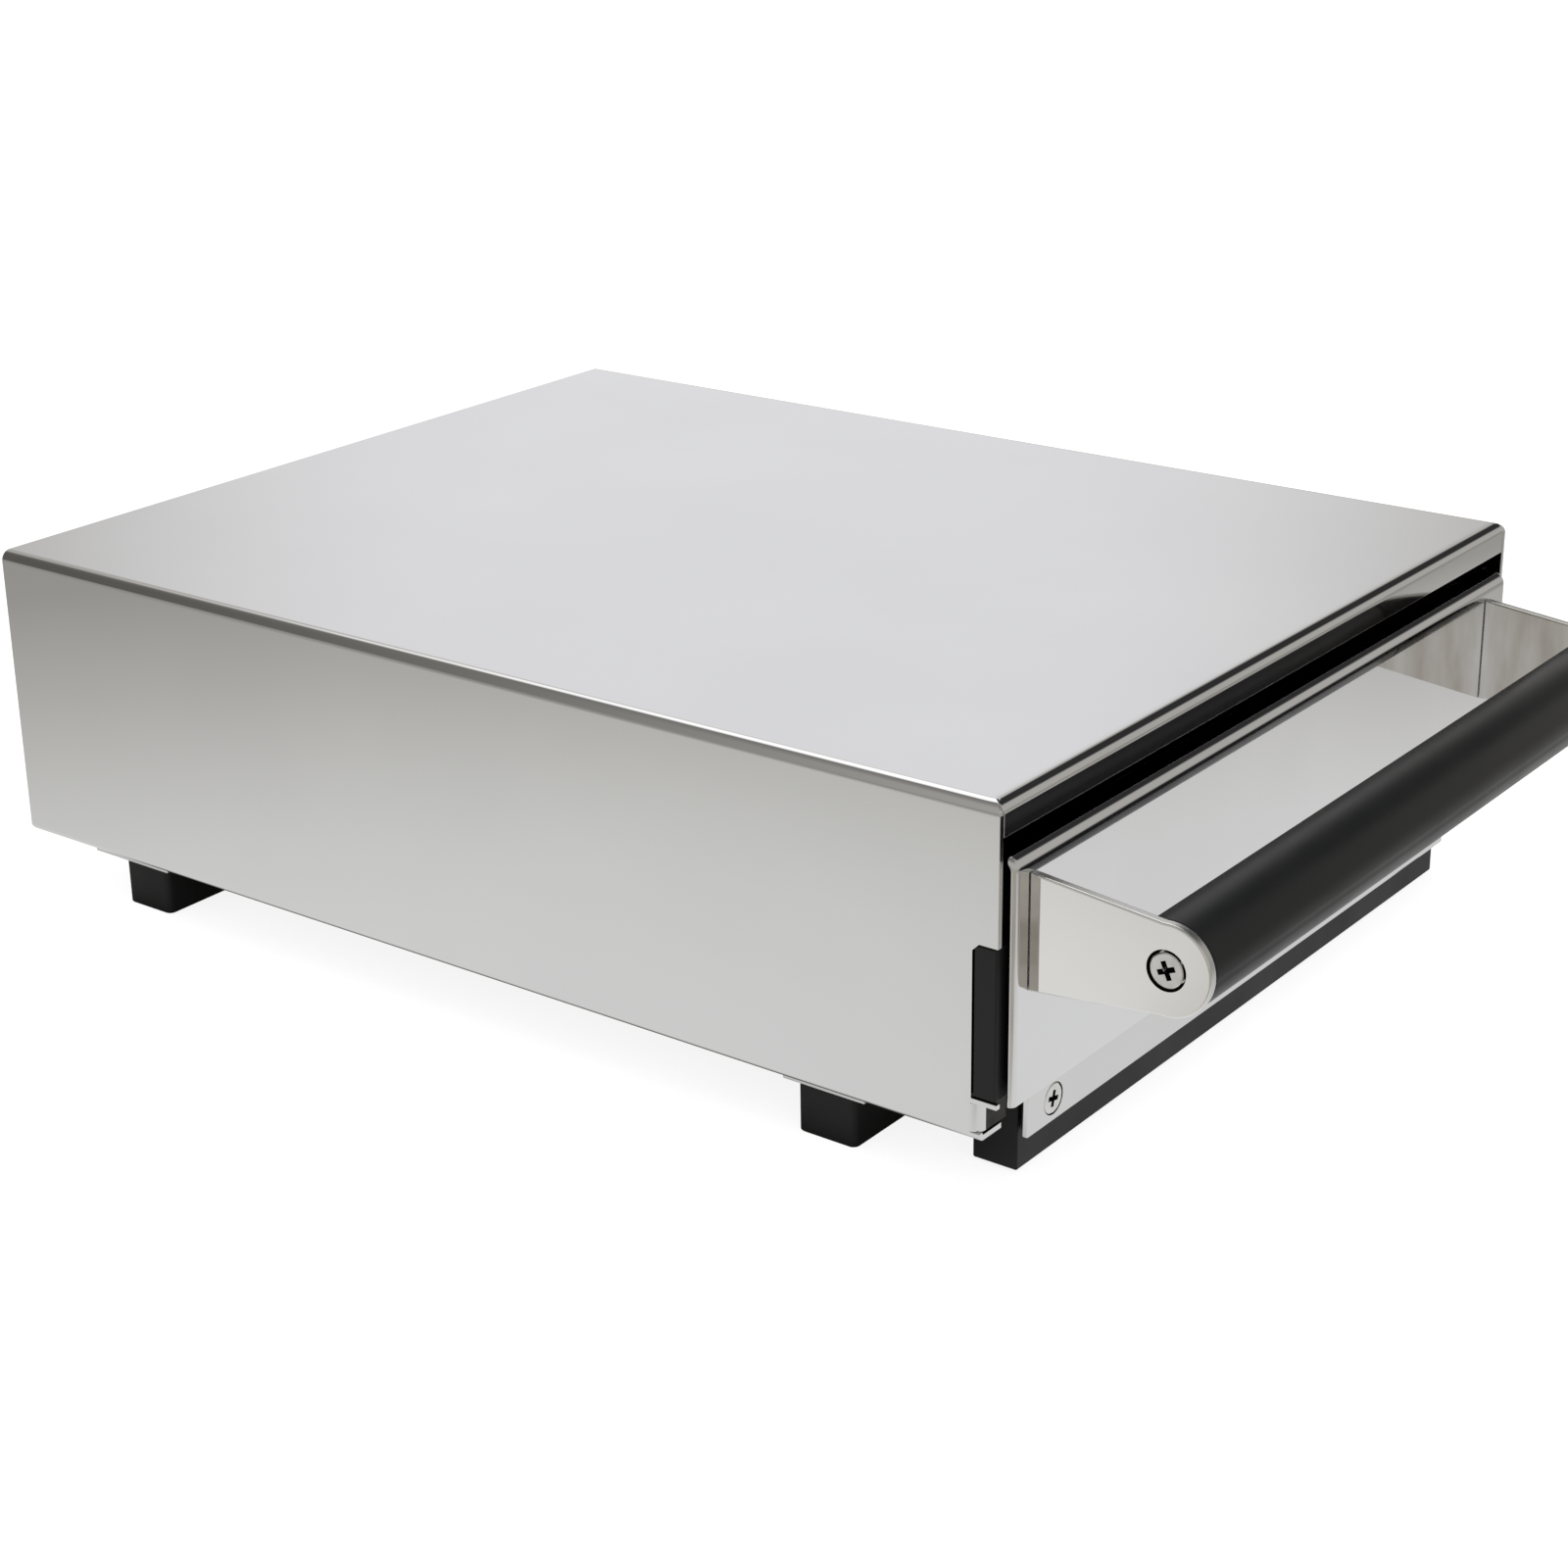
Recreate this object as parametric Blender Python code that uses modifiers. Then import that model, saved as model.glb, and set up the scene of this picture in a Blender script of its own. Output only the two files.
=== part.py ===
# A steel drawer for used coffee grounds. The folded housing stands on four feet with a grinder
# on its top, and a drawer with a padded knock bar slides out of its front on a bar handle.
# Lengths are in metres, +Z is up and the front faces -Y. The origin is on the counter, under
# the middle of the outline. Pieces are placed from the housing's own corner values: X from
# its middle plane, Y from its front plane and Z from its underside.

from math import atan2, cos, pi, sin

import bmesh
import bpy
from mathutils import Matrix, Vector

# Driving dimensions
housing_width = 0.262
housing_depth = 0.336
housing_height = 0.085
standing_height = 0.018
sheet = 0.0015
gap = 0.0003
overrun = 0.002

# Housing: folds, front lip, notches and return tabs
top_fold = 0.003
bottom_fold = 0.002
lip_height = 0.0085
flange_width = 0.0094
notch_depth = 0.007
notch_bottom = 0.011
notch_top_drop = 0.035
tab_setback = 0.0046
tab_width = 0.0113
tab_fold = 0.0025
tab_top = 0.0097
tab_slit = 0.0007
rear_flange = 0.010
rear_side_clearance = 0.0009

# Straps and feet under the housing
strap_width = 0.030
strap_inset = 0.003
foot_length = 0.0175
foot_breadth = 0.026
foot_inset = 0.008
front_foot_start = 0.0454
rear_foot_margin = 0.0307
foot_corner = 0.002
foot_bore = 0.0024
foot_counterbore = 0.005
foot_counterbore_depth = 0.006
nut_across = 0.007
nut_height = 0.0032

# Runners that the drawer slides on, and its stops
runner_width = 0.0142
runner_height = 0.004
runner_front_gap = 0.0035
runner_rear_gap = 0.016
runner_chamfer = 0.001
runner_screw_inset = 0.0057
runner_screw_start = 0.090
runner_screw_margin = 0.086
bumper_radius = 0.008
bumper_inset = 0.051
bumper_height = 0.036
bumper_edge = 0.001
stop_angle_place = 0.042
stop_angle_leg = 0.012
stop_angle_drop = 0.0065
stop_angle_length = 0.080
catch_width = 0.040
catch_foot = 0.030
catch_overlap = 0.002

# Drawer front: mirror panel, black board with its two ears, strip, gasket and plank
panel_setout = 0.0025
panel_margin = 0.003
panel_bottom = 0.0095
panel_top_drop = 0.0135
panel_fold = 0.0035
panel_flange = 0.007
board_thickness = 0.0073
board_edge = 0.0005
ear_setback = 0.0011
ear_clearance = 0.0004
ear_side_clearance = 0.0002
ear_relief = 0.0004
board_margin = 0.010
strip_inset = 0.0197
strip_place = 0.0039
strip_bottom = 0.0072
gasket_thickness = 0.0008
gasket_margin = 0.0013
plank_thickness = 0.0125
plank_drop = 0.0168
plank_edge = 0.0005
strip_screw_inset = 0.0113
strip_screw_drop = 0.0013

# Drawer pan
pan_wall = 0.0012
pan_side_clearance = 0.0112
pan_rear_clearance = 0.0105
pan_head_room = 0.0189
pan_fold = 0.0025
pan_rim = 0.005
panel_screw_inset = 0.0283
panel_screw_low = 0.012
panel_screw_drop = 0.016
plank_screw_inset = 0.0513
plank_screw_edge = 0.004

# Handle
arm_thickness = 0.0025
arm_inset = 0.0112
handle_shift = -0.0025
arm_reach = 0.0350
arm_end_radius = 0.0112
arm_root_height = 0.0293
arm_root_drop = 0.0050
bar_radius = 0.011
bar_edge = 0.0004
core_radius = 0.006
tapped_depth = 0.014

# Knock bar
knock_bar_place = 0.110
knock_bar_drop = 0.016
knock_rod_radius = 0.006
knock_sleeve_radius = 0.014
knock_sleeve_margin = 0.004
knock_sleeve_edge = 0.003

# Screws: head radius, head height, shank radius and length below the head's top or seat
handle_screw = {"head": 0.0047, "depth": 0.0024, "shank": 0.0023, "length": 0.014, "sunk": True}
strip_screw = {"head": 0.0039, "depth": 0.0021, "shank": 0.0018, "length": 0.014, "sunk": True}
runner_screw = {"head": 0.0029, "depth": 0.0016, "shank": 0.0014, "length": 0.0085, "sunk": True}
foot_screw = {"head": 0.0040, "depth": 0.0028, "shank": 0.0019, "length": 0.0158, "sunk": False}
plank_screw = {"head": 0.0040, "depth": 0.0024, "shank": 0.0018, "length": 0.014, "sunk": False}
panel_screw = {"head": 0.0045, "depth": 0.0026, "shank": 0.0019, "length": 0.0091, "sunk": False}
knock_screw = {"head": 0.0050, "depth": 0.0030, "shank": 0.0027, "length": 0.012, "sunk": False}
recess_arm_share = 0.62
recess_blade_share = 0.17
recess_depth_share = 0.55
tip_chamfer_share = 0.35
head_crown_share = 0.45

fold_steps = 4
round_steps = 32
screw_steps = 16
merge_distance = 0.00001

# Places that follow from the sizes above
half_width = housing_width / 2
notch_top = housing_height - notch_top_drop
panel_top = housing_height - panel_top_drop
inner_half = half_width - sheet
handle_reach = panel_setout + gap + arm_reach + arm_end_radius
front_y = (handle_reach - housing_depth) / 2
runner_top = sheet + gap + runner_height
pan_floor = runner_top + gap
pan_half = inner_half - pan_side_clearance
panel_back = sheet - panel_setout
board_front = panel_back + gap
board_back = board_front + board_thickness
pan_front = board_back + gap
pan_rear = housing_depth - sheet - pan_rear_clearance
pan_top = housing_height - pan_head_room
pan_height = pan_top - pan_floor
strip_back = strip_place + sheet
plank_front = strip_back + gap + gasket_thickness + gap
strip_half = half_width - strip_inset
arm_face = half_width - arm_inset
bar_y = -(panel_setout + gap + arm_reach)
bar_z = panel_top - arm_root_drop - arm_root_height / 2
bar_half = arm_face - arm_thickness - gap
foot_height = standing_height - gap - sheet - gap
rear_foot_start = housing_depth - rear_foot_margin - foot_length

sides = ((-1, "left"), (1, "right"))


def clear_scene():
    for item in list(bpy.data.objects):
        bpy.data.objects.remove(item, do_unlink=True)
    for group in list(bpy.data.collections):
        bpy.data.collections.remove(group)


def new_collection(name):
    group = bpy.data.collections.new(name)
    bpy.context.scene.collection.children.link(group)
    return group


def new_frame(name):
    # The frame that the values in this file are measured in: front plane, underside, middle.
    frame = bpy.data.objects.new(name, None)
    frame.location = (0, front_y, standing_height)
    parts.objects.link(frame)
    return frame


def new_material(name, colour, roughness, metallic):
    made = bpy.data.materials.new(name)
    made.use_nodes = True
    shader = made.node_tree.nodes["Principled BSDF"]
    shader.inputs["Base Color"].default_value = (*colour, 1)
    shader.inputs["Roughness"].default_value = roughness
    shader.inputs["Metallic"].default_value = metallic
    made.diffuse_color = (*colour, 1)
    return made


def new_piece(name, mesh, frame, look, place=(0, 0, 0), turn=None):
    piece = bpy.data.objects.new(name, mesh)
    parts.objects.link(piece)
    piece.parent = frame
    piece.matrix_local = Matrix.Translation(place) @ (turn or Matrix.Identity(4))
    mesh.materials.clear()
    mesh.materials.append(look)
    mesh.shade_smooth()
    mesh.set_sharp_from_angle(angle=smooth_angle)
    return piece


def new_cutter(name, mesh, frame, place=(0, 0, 0), turn=None):
    cutter = bpy.data.objects.new(name, mesh)
    cutters.objects.link(cutter)
    cutter.parent = frame
    cutter.matrix_local = Matrix.Translation(place) @ (turn or Matrix.Identity(4))
    cutter.hide_render = True
    cutter.display_type = "WIRE"
    return cutter


def cut(piece, cutter, operation="DIFFERENCE"):
    change = piece.modifiers.new(cutter.name, "BOOLEAN")
    change.operation = operation
    change.solver = "EXACT"
    change.object = cutter


def bevel(piece, width, segments):
    change = piece.modifiers.new("edges", "BEVEL")
    change.width = width
    change.segments = segments
    change.limit_method = "ANGLE"
    return change


def solidify(piece, thickness, offset):
    change = piece.modifiers.new("sheet", "SOLIDIFY")
    change.thickness = thickness
    change.offset = offset
    change.use_even_offset = True
    return change


def mesh_from(shape, name):
    mesh = bpy.data.meshes.new(name)
    shape.to_mesh(mesh)
    shape.free()
    return mesh


def block_mesh(name, low, high):
    shape = bmesh.new()
    size = Vector(high) - Vector(low)
    middle = (Vector(high) + Vector(low)) / 2
    bmesh.ops.create_cube(shape, size=1, matrix=Matrix.Translation(middle) @ Matrix.Diagonal((*size, 1)))
    return mesh_from(shape, name)


def round_mesh(name, radius, length, steps):
    # A cylinder that runs up from the origin along Z.
    shape = bmesh.new()
    lift = Matrix.Translation((0, 0, length / 2))
    bmesh.ops.create_cone(shape, cap_ends=True, segments=steps, radius1=radius, radius2=radius,
                          depth=length, matrix=lift)
    return mesh_from(shape, name)


def turned_mesh(name, profile, steps):
    # The profile's points are (radius, height), from the top down the outer side.
    shape = bmesh.new()
    corners = [shape.verts.new((radius, 0, height)) for radius, height in profile]
    for upper, lower in zip(corners, corners[1:]):
        shape.edges.new((upper, lower))
    mesh = mesh_from(shape, name + "_profile")
    lathe = bpy.data.objects.new(name + "_profile", mesh)
    cutters.objects.link(lathe)
    turn = lathe.modifiers.new("turn", "SCREW")
    turn.steps = steps
    turn.render_steps = steps
    turn.use_merge_vertices = True
    turn.merge_threshold = merge_distance
    bpy.context.view_layer.update()
    seen = lathe.evaluated_get(bpy.context.evaluated_depsgraph_get())
    turned = bpy.data.meshes.new_from_object(seen)
    turned.name = name
    bpy.data.objects.remove(lathe, do_unlink=True)
    return turned


def arc_points(centre, radius, start, sweep, steps):
    angles = [start + sweep * step / steps for step in range(steps + 1)]
    return [(centre[0] + radius * cos(angle), centre[1] + radius * sin(angle)) for angle in angles]


def outline_mesh(name, points, low, high, turn):
    # A flat outline in the XY plane, raised from low to high and then turned.
    line = bpy.data.curves.new(name, "CURVE")
    line.dimensions = "2D"
    line.fill_mode = "BOTH"
    line.extrude = (high - low) / 2
    path = line.splines.new("POLY")
    path.points.add(len(points) - 1)
    for point, (across, up) in zip(path.points, points):
        point.co = (across, up, 0, 1)
    path.use_cyclic_u = True
    holder = bpy.data.objects.new(name, line)
    cutters.objects.link(holder)
    holder.matrix_world = turn @ Matrix.Translation((0, 0, (high + low) / 2))
    bpy.context.view_layer.update()
    seen = holder.evaluated_get(bpy.context.evaluated_depsgraph_get())
    mesh = bpy.data.meshes.new_from_object(seen)
    mesh.transform(holder.matrix_world)
    shape = bmesh.new()
    shape.from_mesh(mesh)
    bmesh.ops.remove_doubles(shape, verts=shape.verts[:], dist=merge_distance)
    shape.to_mesh(mesh)
    shape.free()
    bpy.data.objects.remove(holder, do_unlink=True)
    return mesh


def axis_turn(towards):
    # Turns local Z to the given direction.
    return Vector(towards).to_track_quat("Z", "Y").to_matrix().to_4x4()


# Local X and Y of an outline become Y and Z, so that it is raised along X
outline_along_x = Matrix(((0, 0, 1, 0), (1, 0, 0, 0), (0, 1, 0, 0), (0, 0, 0, 1)))


def screw_profile(size, room, spare):
    # Head up, its top or countersunk face at height 0; the room widens it into a hole's shape.
    head = size["head"] + room
    shank = size["shank"] + room
    tip = -size["length"] - spare
    if size["sunk"]:
        neck = -size["depth"] - room
        top = [(0, spare), (head, spare), (head, -room)] if spare else [(0, 0), (head, 0)]
    else:
        neck = 0
        crown = head * head_crown_share
        top = [(0, size["depth"]), (crown, size["depth"]), (head, size["depth"] / 2), (head, 0)]
    if spare:
        return top + [(shank, neck), (shank, tip), (0, tip)]
    chamfer = shank * tip_chamfer_share
    return top + [(shank, neck), (shank, tip + chamfer), (shank - chamfer, tip), (0, tip)]


def hole_profile(size):
    # The way through for a screw whose head stays outside, or a countersunk way with its cone.
    if size["sunk"]:
        return screw_profile(size, gap, overrun)
    reach = size["length"] + overrun
    radius = size["shank"] + gap
    return [(0, overrun), (radius, overrun), (radius, -reach), (0, -reach)]


def new_screw(name, size, frame, place, towards, recessed):
    # towards is where the head looks.
    turn = axis_turn(towards)
    mesh = turned_mesh(name, screw_profile(size, 0, 0), screw_steps)
    piece = new_piece(name, mesh, frame, steel, place, turn)
    if recessed:
        arm = size["head"] * recess_arm_share
        blade = size["head"] * recess_blade_share
        depth = size["depth"] * recess_depth_share
        top = 0 if size["sunk"] else size["depth"]
        for word, across, up in (("flat", arm, blade), ("upright", blade, arm)):
            slot = block_mesh(name + "_slot", (-across, -up, top - depth), (across, up, top + overrun))
            cut(piece, new_cutter(name + "_" + word, slot, frame, place, turn))
    return piece


def screw_hole(name, size, frame, place, towards, pieces):
    mesh = turned_mesh(name, hole_profile(size), screw_steps)
    cutter = new_cutter(name, mesh, frame, place, axis_turn(towards))
    for piece in pieces:
        cut(piece, cutter)


def fold_and_extend(shape, edges, centre, axis, angle, straight):
    # Rolls the edges a quarter turn around a fold's axis and then carries them on straight.
    rolled = bmesh.ops.spin(shape, geom=edges, cent=centre, axis=axis, angle=angle, steps=fold_steps)
    ends = [item for item in rolled["geom_last"] if isinstance(item, bmesh.types.BMEdge)]
    carried = bmesh.ops.extrude_edge_only(shape, edges=ends)
    moved = [item for item in carried["geom"] if isinstance(item, bmesh.types.BMVert)]
    bmesh.ops.translate(shape, verts=moved, vec=straight)


def edges_where(shape, test):
    return [edge for edge in shape.edges if all(test(vert.co) for vert in edge.verts)]


def near(one, other):
    return abs(one - other) < merge_distance


def housing_section():
    # Half of the section's outer line, from the flange's inner end up to the top's middle,
    # with a point at each height where the wall's front edge steps.
    flange_end = half_width - flange_width
    low_centre = (half_width - bottom_fold, bottom_fold)
    high_centre = (half_width - top_fold, housing_height - top_fold)
    low_arc = arc_points(low_centre, bottom_fold, -pi / 2, pi / 2, fold_steps)
    high_arc = arc_points(high_centre, top_fold, 0, pi / 2, fold_steps)
    steps = [(half_width, height) for height in (sheet + tab_slit, tab_top, notch_bottom, notch_top)]
    return [(flange_end, 0)] + low_arc + steps + high_arc + [(0, housing_height)]


def build_housing_shell():
    right = housing_section()
    left = [(-across, up) for across, up in right[-2::-1]]
    shape = bmesh.new()
    corners = [shape.verts.new((across, 0, up)) for across, up in right + left]
    for one, other in zip(corners, corners[1:]):
        shape.edges.new((one, other))
    fold_line = tab_setback + tab_fold
    stations = (0, tab_setback, notch_depth, fold_line, housing_depth)
    last = shape.edges[:]
    for start, end in zip(stations, stations[1:]):
        grown = bmesh.ops.extrude_edge_only(shape, edges=last)
        moved = [item for item in grown["geom"] if isinstance(item, bmesh.types.BMVert)]
        bmesh.ops.translate(shape, verts=moved, vec=(0, end - start, 0))
        last = [item for item in grown["geom"] if isinstance(item, bmesh.types.BMEdge)]
        last = [edge for edge in last if all(near(vert.co.y, end) for vert in edge.verts)]

    def is_open(face):
        middle = face.calc_center_median()
        low_front = middle.z < sheet + tab_slit and middle.y < tab_setback
        tab_room = sheet + tab_slit < middle.z < tab_top and middle.y < fold_line
        notch = notch_bottom < middle.z < notch_top and middle.y < notch_depth
        return low_front or tab_room or notch

    gone = [face for face in shape.faces if is_open(face)]
    bmesh.ops.delete(shape, geom=gone, context="FACES")

    lip_edges = edges_where(shape, lambda spot: near(spot.y, 0) and near(spot.z, housing_height))
    lip_centre = (0, top_fold, housing_height - top_fold)
    front_verts = {vert for edge in lip_edges for vert in edge.verts}
    bmesh.ops.translate(shape, verts=list(front_verts), vec=(0, top_fold, 0))
    fold_and_extend(shape, lip_edges, lip_centre, (1, 0, 0), pi / 2, (0, 0, top_fold - lip_height))
    for side, _ in sides:
        def on_tab(spot, side=side):
            in_height = sheet + tab_slit - merge_distance < spot.z < tab_top + merge_distance
            return near(spot.x, side * half_width) and near(spot.y, fold_line) and in_height

        centre = (side * (half_width - tab_fold), fold_line, 0)
        inward = (side * (tab_fold - tab_width), 0, 0)
        fold_and_extend(shape, edges_where(shape, on_tab), centre, (0, 0, 1), -side * pi / 2, inward)
    bmesh.ops.recalc_face_normals(shape, faces=shape.faces[:])
    shell = new_piece("housing_shell", mesh_from(shape, "housing_shell"), housing, steel)
    solidify(shell, sheet, -1)
    return shell


def folded_mesh(name, path, low, high):
    # A folded sheet's outer line in the YZ plane, carried along X from low to high.
    shape = bmesh.new()
    corners = [shape.verts.new((low, along, up)) for along, up in path]
    for one, other in zip(corners, corners[1:]):
        shape.edges.new((one, other))
    grown = bmesh.ops.extrude_edge_only(shape, edges=shape.edges[:])
    moved = [item for item in grown["geom"] if isinstance(item, bmesh.types.BMVert)]
    bmesh.ops.translate(shape, verts=moved, vec=(high - low, 0, 0))
    return mesh_from(shape, name)


def build_rear_panel():
    half = inner_half - rear_side_clearance
    low = sheet + gap
    high = housing_height - sheet - gap
    rear = housing_depth
    low_arc = arc_points((rear - bottom_fold, low + bottom_fold), bottom_fold, -pi / 2, pi / 2, fold_steps)
    high_arc = arc_points((rear - bottom_fold, high - bottom_fold), bottom_fold, 0, pi / 2, fold_steps)
    path = [(rear - rear_flange, low)] + low_arc + high_arc + [(rear - rear_flange, high)]
    panel = new_piece("rear_panel", folded_mesh("rear_panel", path, -half, half), housing, steel)
    solidify(panel, sheet, 1)


def build_feet_and_straps():
    strap_half = half_width - strap_inset
    foot_x = half_width - foot_inset - foot_breadth / 2
    nut_radius = nut_across / 2 / cos(pi / 6)
    for word, start in (("front", front_foot_start), ("rear", rear_foot_start)):
        middle = start + foot_length / 2
        strap_mesh = block_mesh(word + "_strap", (-strap_half, middle - strap_width / 2, -gap - sheet),
                                (strap_half, middle + strap_width / 2, -gap))
        strap = new_piece(word + "_strap", strap_mesh, housing, steel)
        for side, hand in sides:
            tag = word + "_" + hand
            place = (side * foot_x, middle, -standing_height)
            low = (-foot_breadth / 2, -foot_length / 2, 0)
            high = (foot_breadth / 2, foot_length / 2, foot_height)
            foot = new_piece("foot_" + tag, block_mesh("foot_" + tag, low, high), housing, rubber, place)
            bevel(foot, foot_corner, fold_steps).limit_method = "WEIGHT"
            weights = foot.data.attributes.new("bevel_weight_edge", "FLOAT", "EDGE")
            for edge in foot.data.edges:
                one, other = (foot.data.vertices[spot].co for spot in edge.vertices)
                weights.data[edge.index].value = 0 if near(one.z, other.z) else 1
            seat = Vector(place) + Vector((0, 0, foot_counterbore_depth))
            drill = round_mesh("foot_seat", foot_counterbore, foot_counterbore_depth + overrun, screw_steps)
            below = Vector(place) - Vector((0, 0, overrun))
            cut(foot, new_cutter("foot_seat_" + tag, drill, housing, below))
            drill = round_mesh("foot_bore", foot_bore, standing_height + overrun, screw_steps)
            bore = new_cutter("foot_bore_" + tag, drill, housing, seat - Vector((0, 0, overrun)))
            cut(foot, bore)
            cut(strap, bore)
            head = seat - Vector((0, 0, gap))
            new_screw("foot_screw_" + tag, foot_screw, housing, head, (0, 0, -1), False)
            nut = round_mesh("foot_nut_" + tag, nut_radius, nut_height, 6)
            nut_piece = new_piece("foot_nut_" + tag, nut, housing, steel, (side * foot_x, middle, 0))
            cut(nut_piece, bore)


def build_runners(shell):
    start = tab_setback + runner_front_gap
    end = housing_depth - runner_rear_gap
    outer = inner_half - gap
    low = sheet + gap
    screw_places = (runner_screw_start, housing_depth - runner_screw_margin)
    for side, hand in sides:
        ends = sorted((side * outer, side * (outer - runner_width)))
        mesh = block_mesh("runner_" + hand, (ends[0], start, low), (ends[1], end, runner_top))
        runner = new_piece("runner_" + hand, mesh, housing, plastic)
        bevel(runner, runner_chamfer, 1)
        for number, place in enumerate(screw_places, start=1):
            spot = (side * (half_width - runner_screw_inset), place, runner_top)
            tag = hand + "_" + str(number)
            screw_hole("runner_hole_" + tag, runner_screw, housing, spot, (0, 0, 1), (runner, shell))
            new_screw("runner_screw_" + tag, runner_screw, housing, spot, (0, 0, 1), False)


def build_stops():
    bumper_length = pan_rear_clearance - gap - gap
    profile = [(0, bumper_length), (bumper_radius - bumper_edge, bumper_length),
               (bumper_radius, bumper_length - bumper_edge), (bumper_radius, 0), (0, 0)]
    for side, hand in sides:
        mesh = turned_mesh("bumper_" + hand, profile, screw_steps)
        place = (side * (half_width - bumper_inset), housing_depth - sheet - gap, bumper_height)
        new_piece("bumper_" + hand, mesh, housing, rubber, place, axis_turn((0, -1, 0)))
    under = housing_height - sheet - gap
    rear = stop_angle_place
    arc = arc_points((rear - bottom_fold, under - bottom_fold), bottom_fold, pi / 2, -pi / 2, fold_steps)
    path = [(rear - stop_angle_leg, under)] + arc + [(rear, under - stop_angle_drop)]
    mesh = folded_mesh("stop_angle", path, -stop_angle_length / 2, stop_angle_length / 2)
    solidify(new_piece("stop_angle", mesh, housing, steel), sheet, -1)


def build_pan():
    middle_y = (pan_front + pan_rear) / 2
    half_length = (pan_rear - pan_front) / 2
    shape = bmesh.new()
    size = Matrix.Diagonal((2 * pan_half, 2 * half_length, pan_height, 1))
    bmesh.ops.create_cube(shape, size=1, matrix=Matrix.Translation((0, 0, pan_height / 2)) @ size)
    lid = [face for face in shape.faces if near(face.calc_center_median().z, pan_height)]
    bmesh.ops.delete(shape, geom=lid, context="FACES")
    folds = [edge for edge in shape.edges if not edge.is_boundary]
    bmesh.ops.bevel(shape, geom=folds, offset=pan_fold, segments=fold_steps, profile=0.5, affect="EDGES")
    rims = [edge for edge in shape.edges if edge.is_boundary
            and all(near(abs(vert.co.x), pan_half) for vert in edge.verts)]
    grown = bmesh.ops.extrude_edge_only(shape, edges=rims)
    for item in grown["geom"]:
        if isinstance(item, bmesh.types.BMVert):
            item.co.x += pan_rim if item.co.x > 0 else -pan_rim
    bmesh.ops.recalc_face_normals(shape, faces=shape.faces[:])
    pan = new_piece("pan", mesh_from(shape, "pan"), drawer, steel, (0, middle_y, pan_floor))
    walls = solidify(pan, pan_wall, 1)
    walls.solidify_mode = "NON_MANIFOLD"
    walls.nonmanifold_thickness_mode = "CONSTRAINTS"
    return pan


def build_drawer_front():
    half = half_width - panel_margin
    front = -panel_setout
    arc = arc_points((front + panel_fold, panel_top - panel_fold), panel_fold, pi, -pi / 2, fold_steps)
    path = [(front, panel_bottom)] + arc + [(front + panel_flange, panel_top)]
    panel = new_piece("front_panel", folded_mesh("front_panel", path, -half, half), drawer, mirror)
    solidify(panel, sheet, -1)

    # The board backs the panel, and a lower bar across it ends in the ears that fill the notches.
    body_half = half_width - board_margin
    low = (-body_half, board_front, panel_bottom + gap)
    high = (body_half, board_back, panel_top - panel_fold)
    board = new_piece("front_board", block_mesh("front_board", low, high), drawer, plastic)
    ear_half = half_width - ear_side_clearance
    low = (-ear_half, board_front + ear_setback, notch_bottom + ear_clearance)
    high = (ear_half, board_back - ear_relief, notch_top - ear_clearance)
    ears = new_cutter("ear_bar", block_mesh("ear_bar", low, high), drawer)
    cut(board, ears, "UNION")
    bevel(board, board_edge, 1)
    return panel, board


def build_skirt():
    strip_top = panel_bottom - gap
    plank_top = pan_floor - gap
    low = (-strip_half, strip_place, -strip_bottom)
    high = (strip_half, strip_back, strip_top)
    strip = new_piece("skirt_strip", block_mesh("skirt_strip", low, high), drawer, steel)
    gasket_half = strip_half - gasket_margin
    low = (-gasket_half, strip_back + gap, gasket_margin - strip_bottom)
    high = (gasket_half, strip_back + gap + gasket_thickness, plank_top)
    gasket = new_piece("skirt_gasket", block_mesh("skirt_gasket", low, high), drawer, rubber)
    low = (-strip_half, plank_front, -plank_drop)
    high = (strip_half, plank_front + plank_thickness, plank_top)
    plank = new_piece("plank", block_mesh("plank", low, high), drawer, plastic)
    bevel(plank, plank_edge, 1)
    for side, hand in sides:
        spot = (side * (strip_half - strip_screw_inset), strip_place, -strip_screw_drop)
        screw_hole("strip_hole_" + hand, strip_screw, drawer, spot, (0, -1, 0), (strip, gasket, plank))
        new_screw("strip_screw_" + hand, strip_screw, drawer, spot, (0, -1, 0), True)
    return plank


def build_drawer_screws(pan, board, plank):
    inside = pan_front + pan_wall + gap
    for level, height in (("low", panel_screw_low), ("high", pan_height - panel_screw_drop)):
        for side, hand in sides:
            spot = (side * (pan_half - panel_screw_inset), inside, pan_floor + height)
            tag = level + "_" + hand
            screw_hole("panel_hole_" + tag, panel_screw, drawer, spot, (0, 1, 0), (pan, board))
            new_screw("panel_screw_" + tag, panel_screw, drawer, spot, (0, 1, 0), False)
    for side, hand in sides:
        spot_y = plank_front + plank_thickness - plank_screw_edge
        spot = (side * (strip_half - plank_screw_inset), spot_y, pan_floor + pan_wall + gap)
        screw_hole("plank_hole_" + hand, plank_screw, drawer, spot, (0, 0, 1), (pan, plank))
        new_screw("plank_screw_" + hand, plank_screw, drawer, spot, (0, 0, 1), False)


def arm_outline():
    # A tapered plate: its straight edges run from the root's corners to touch the round end.
    root_y = -panel_setout - gap
    root_half = arm_root_height / 2
    reach = (arm_reach ** 2 + root_half ** 2) ** 0.5
    lean = atan2(root_half, arm_reach) + atan2(arm_end_radius, (reach ** 2 - arm_end_radius ** 2) ** 0.5)
    touch = pi / 2 + lean - 2 * atan2(root_half, arm_reach)
    end = arc_points((bar_y, bar_z), arm_end_radius, touch, 2 * (pi - touch), round_steps)
    return [(root_y, bar_z - root_half), (root_y, bar_z + root_half)] + end


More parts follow.
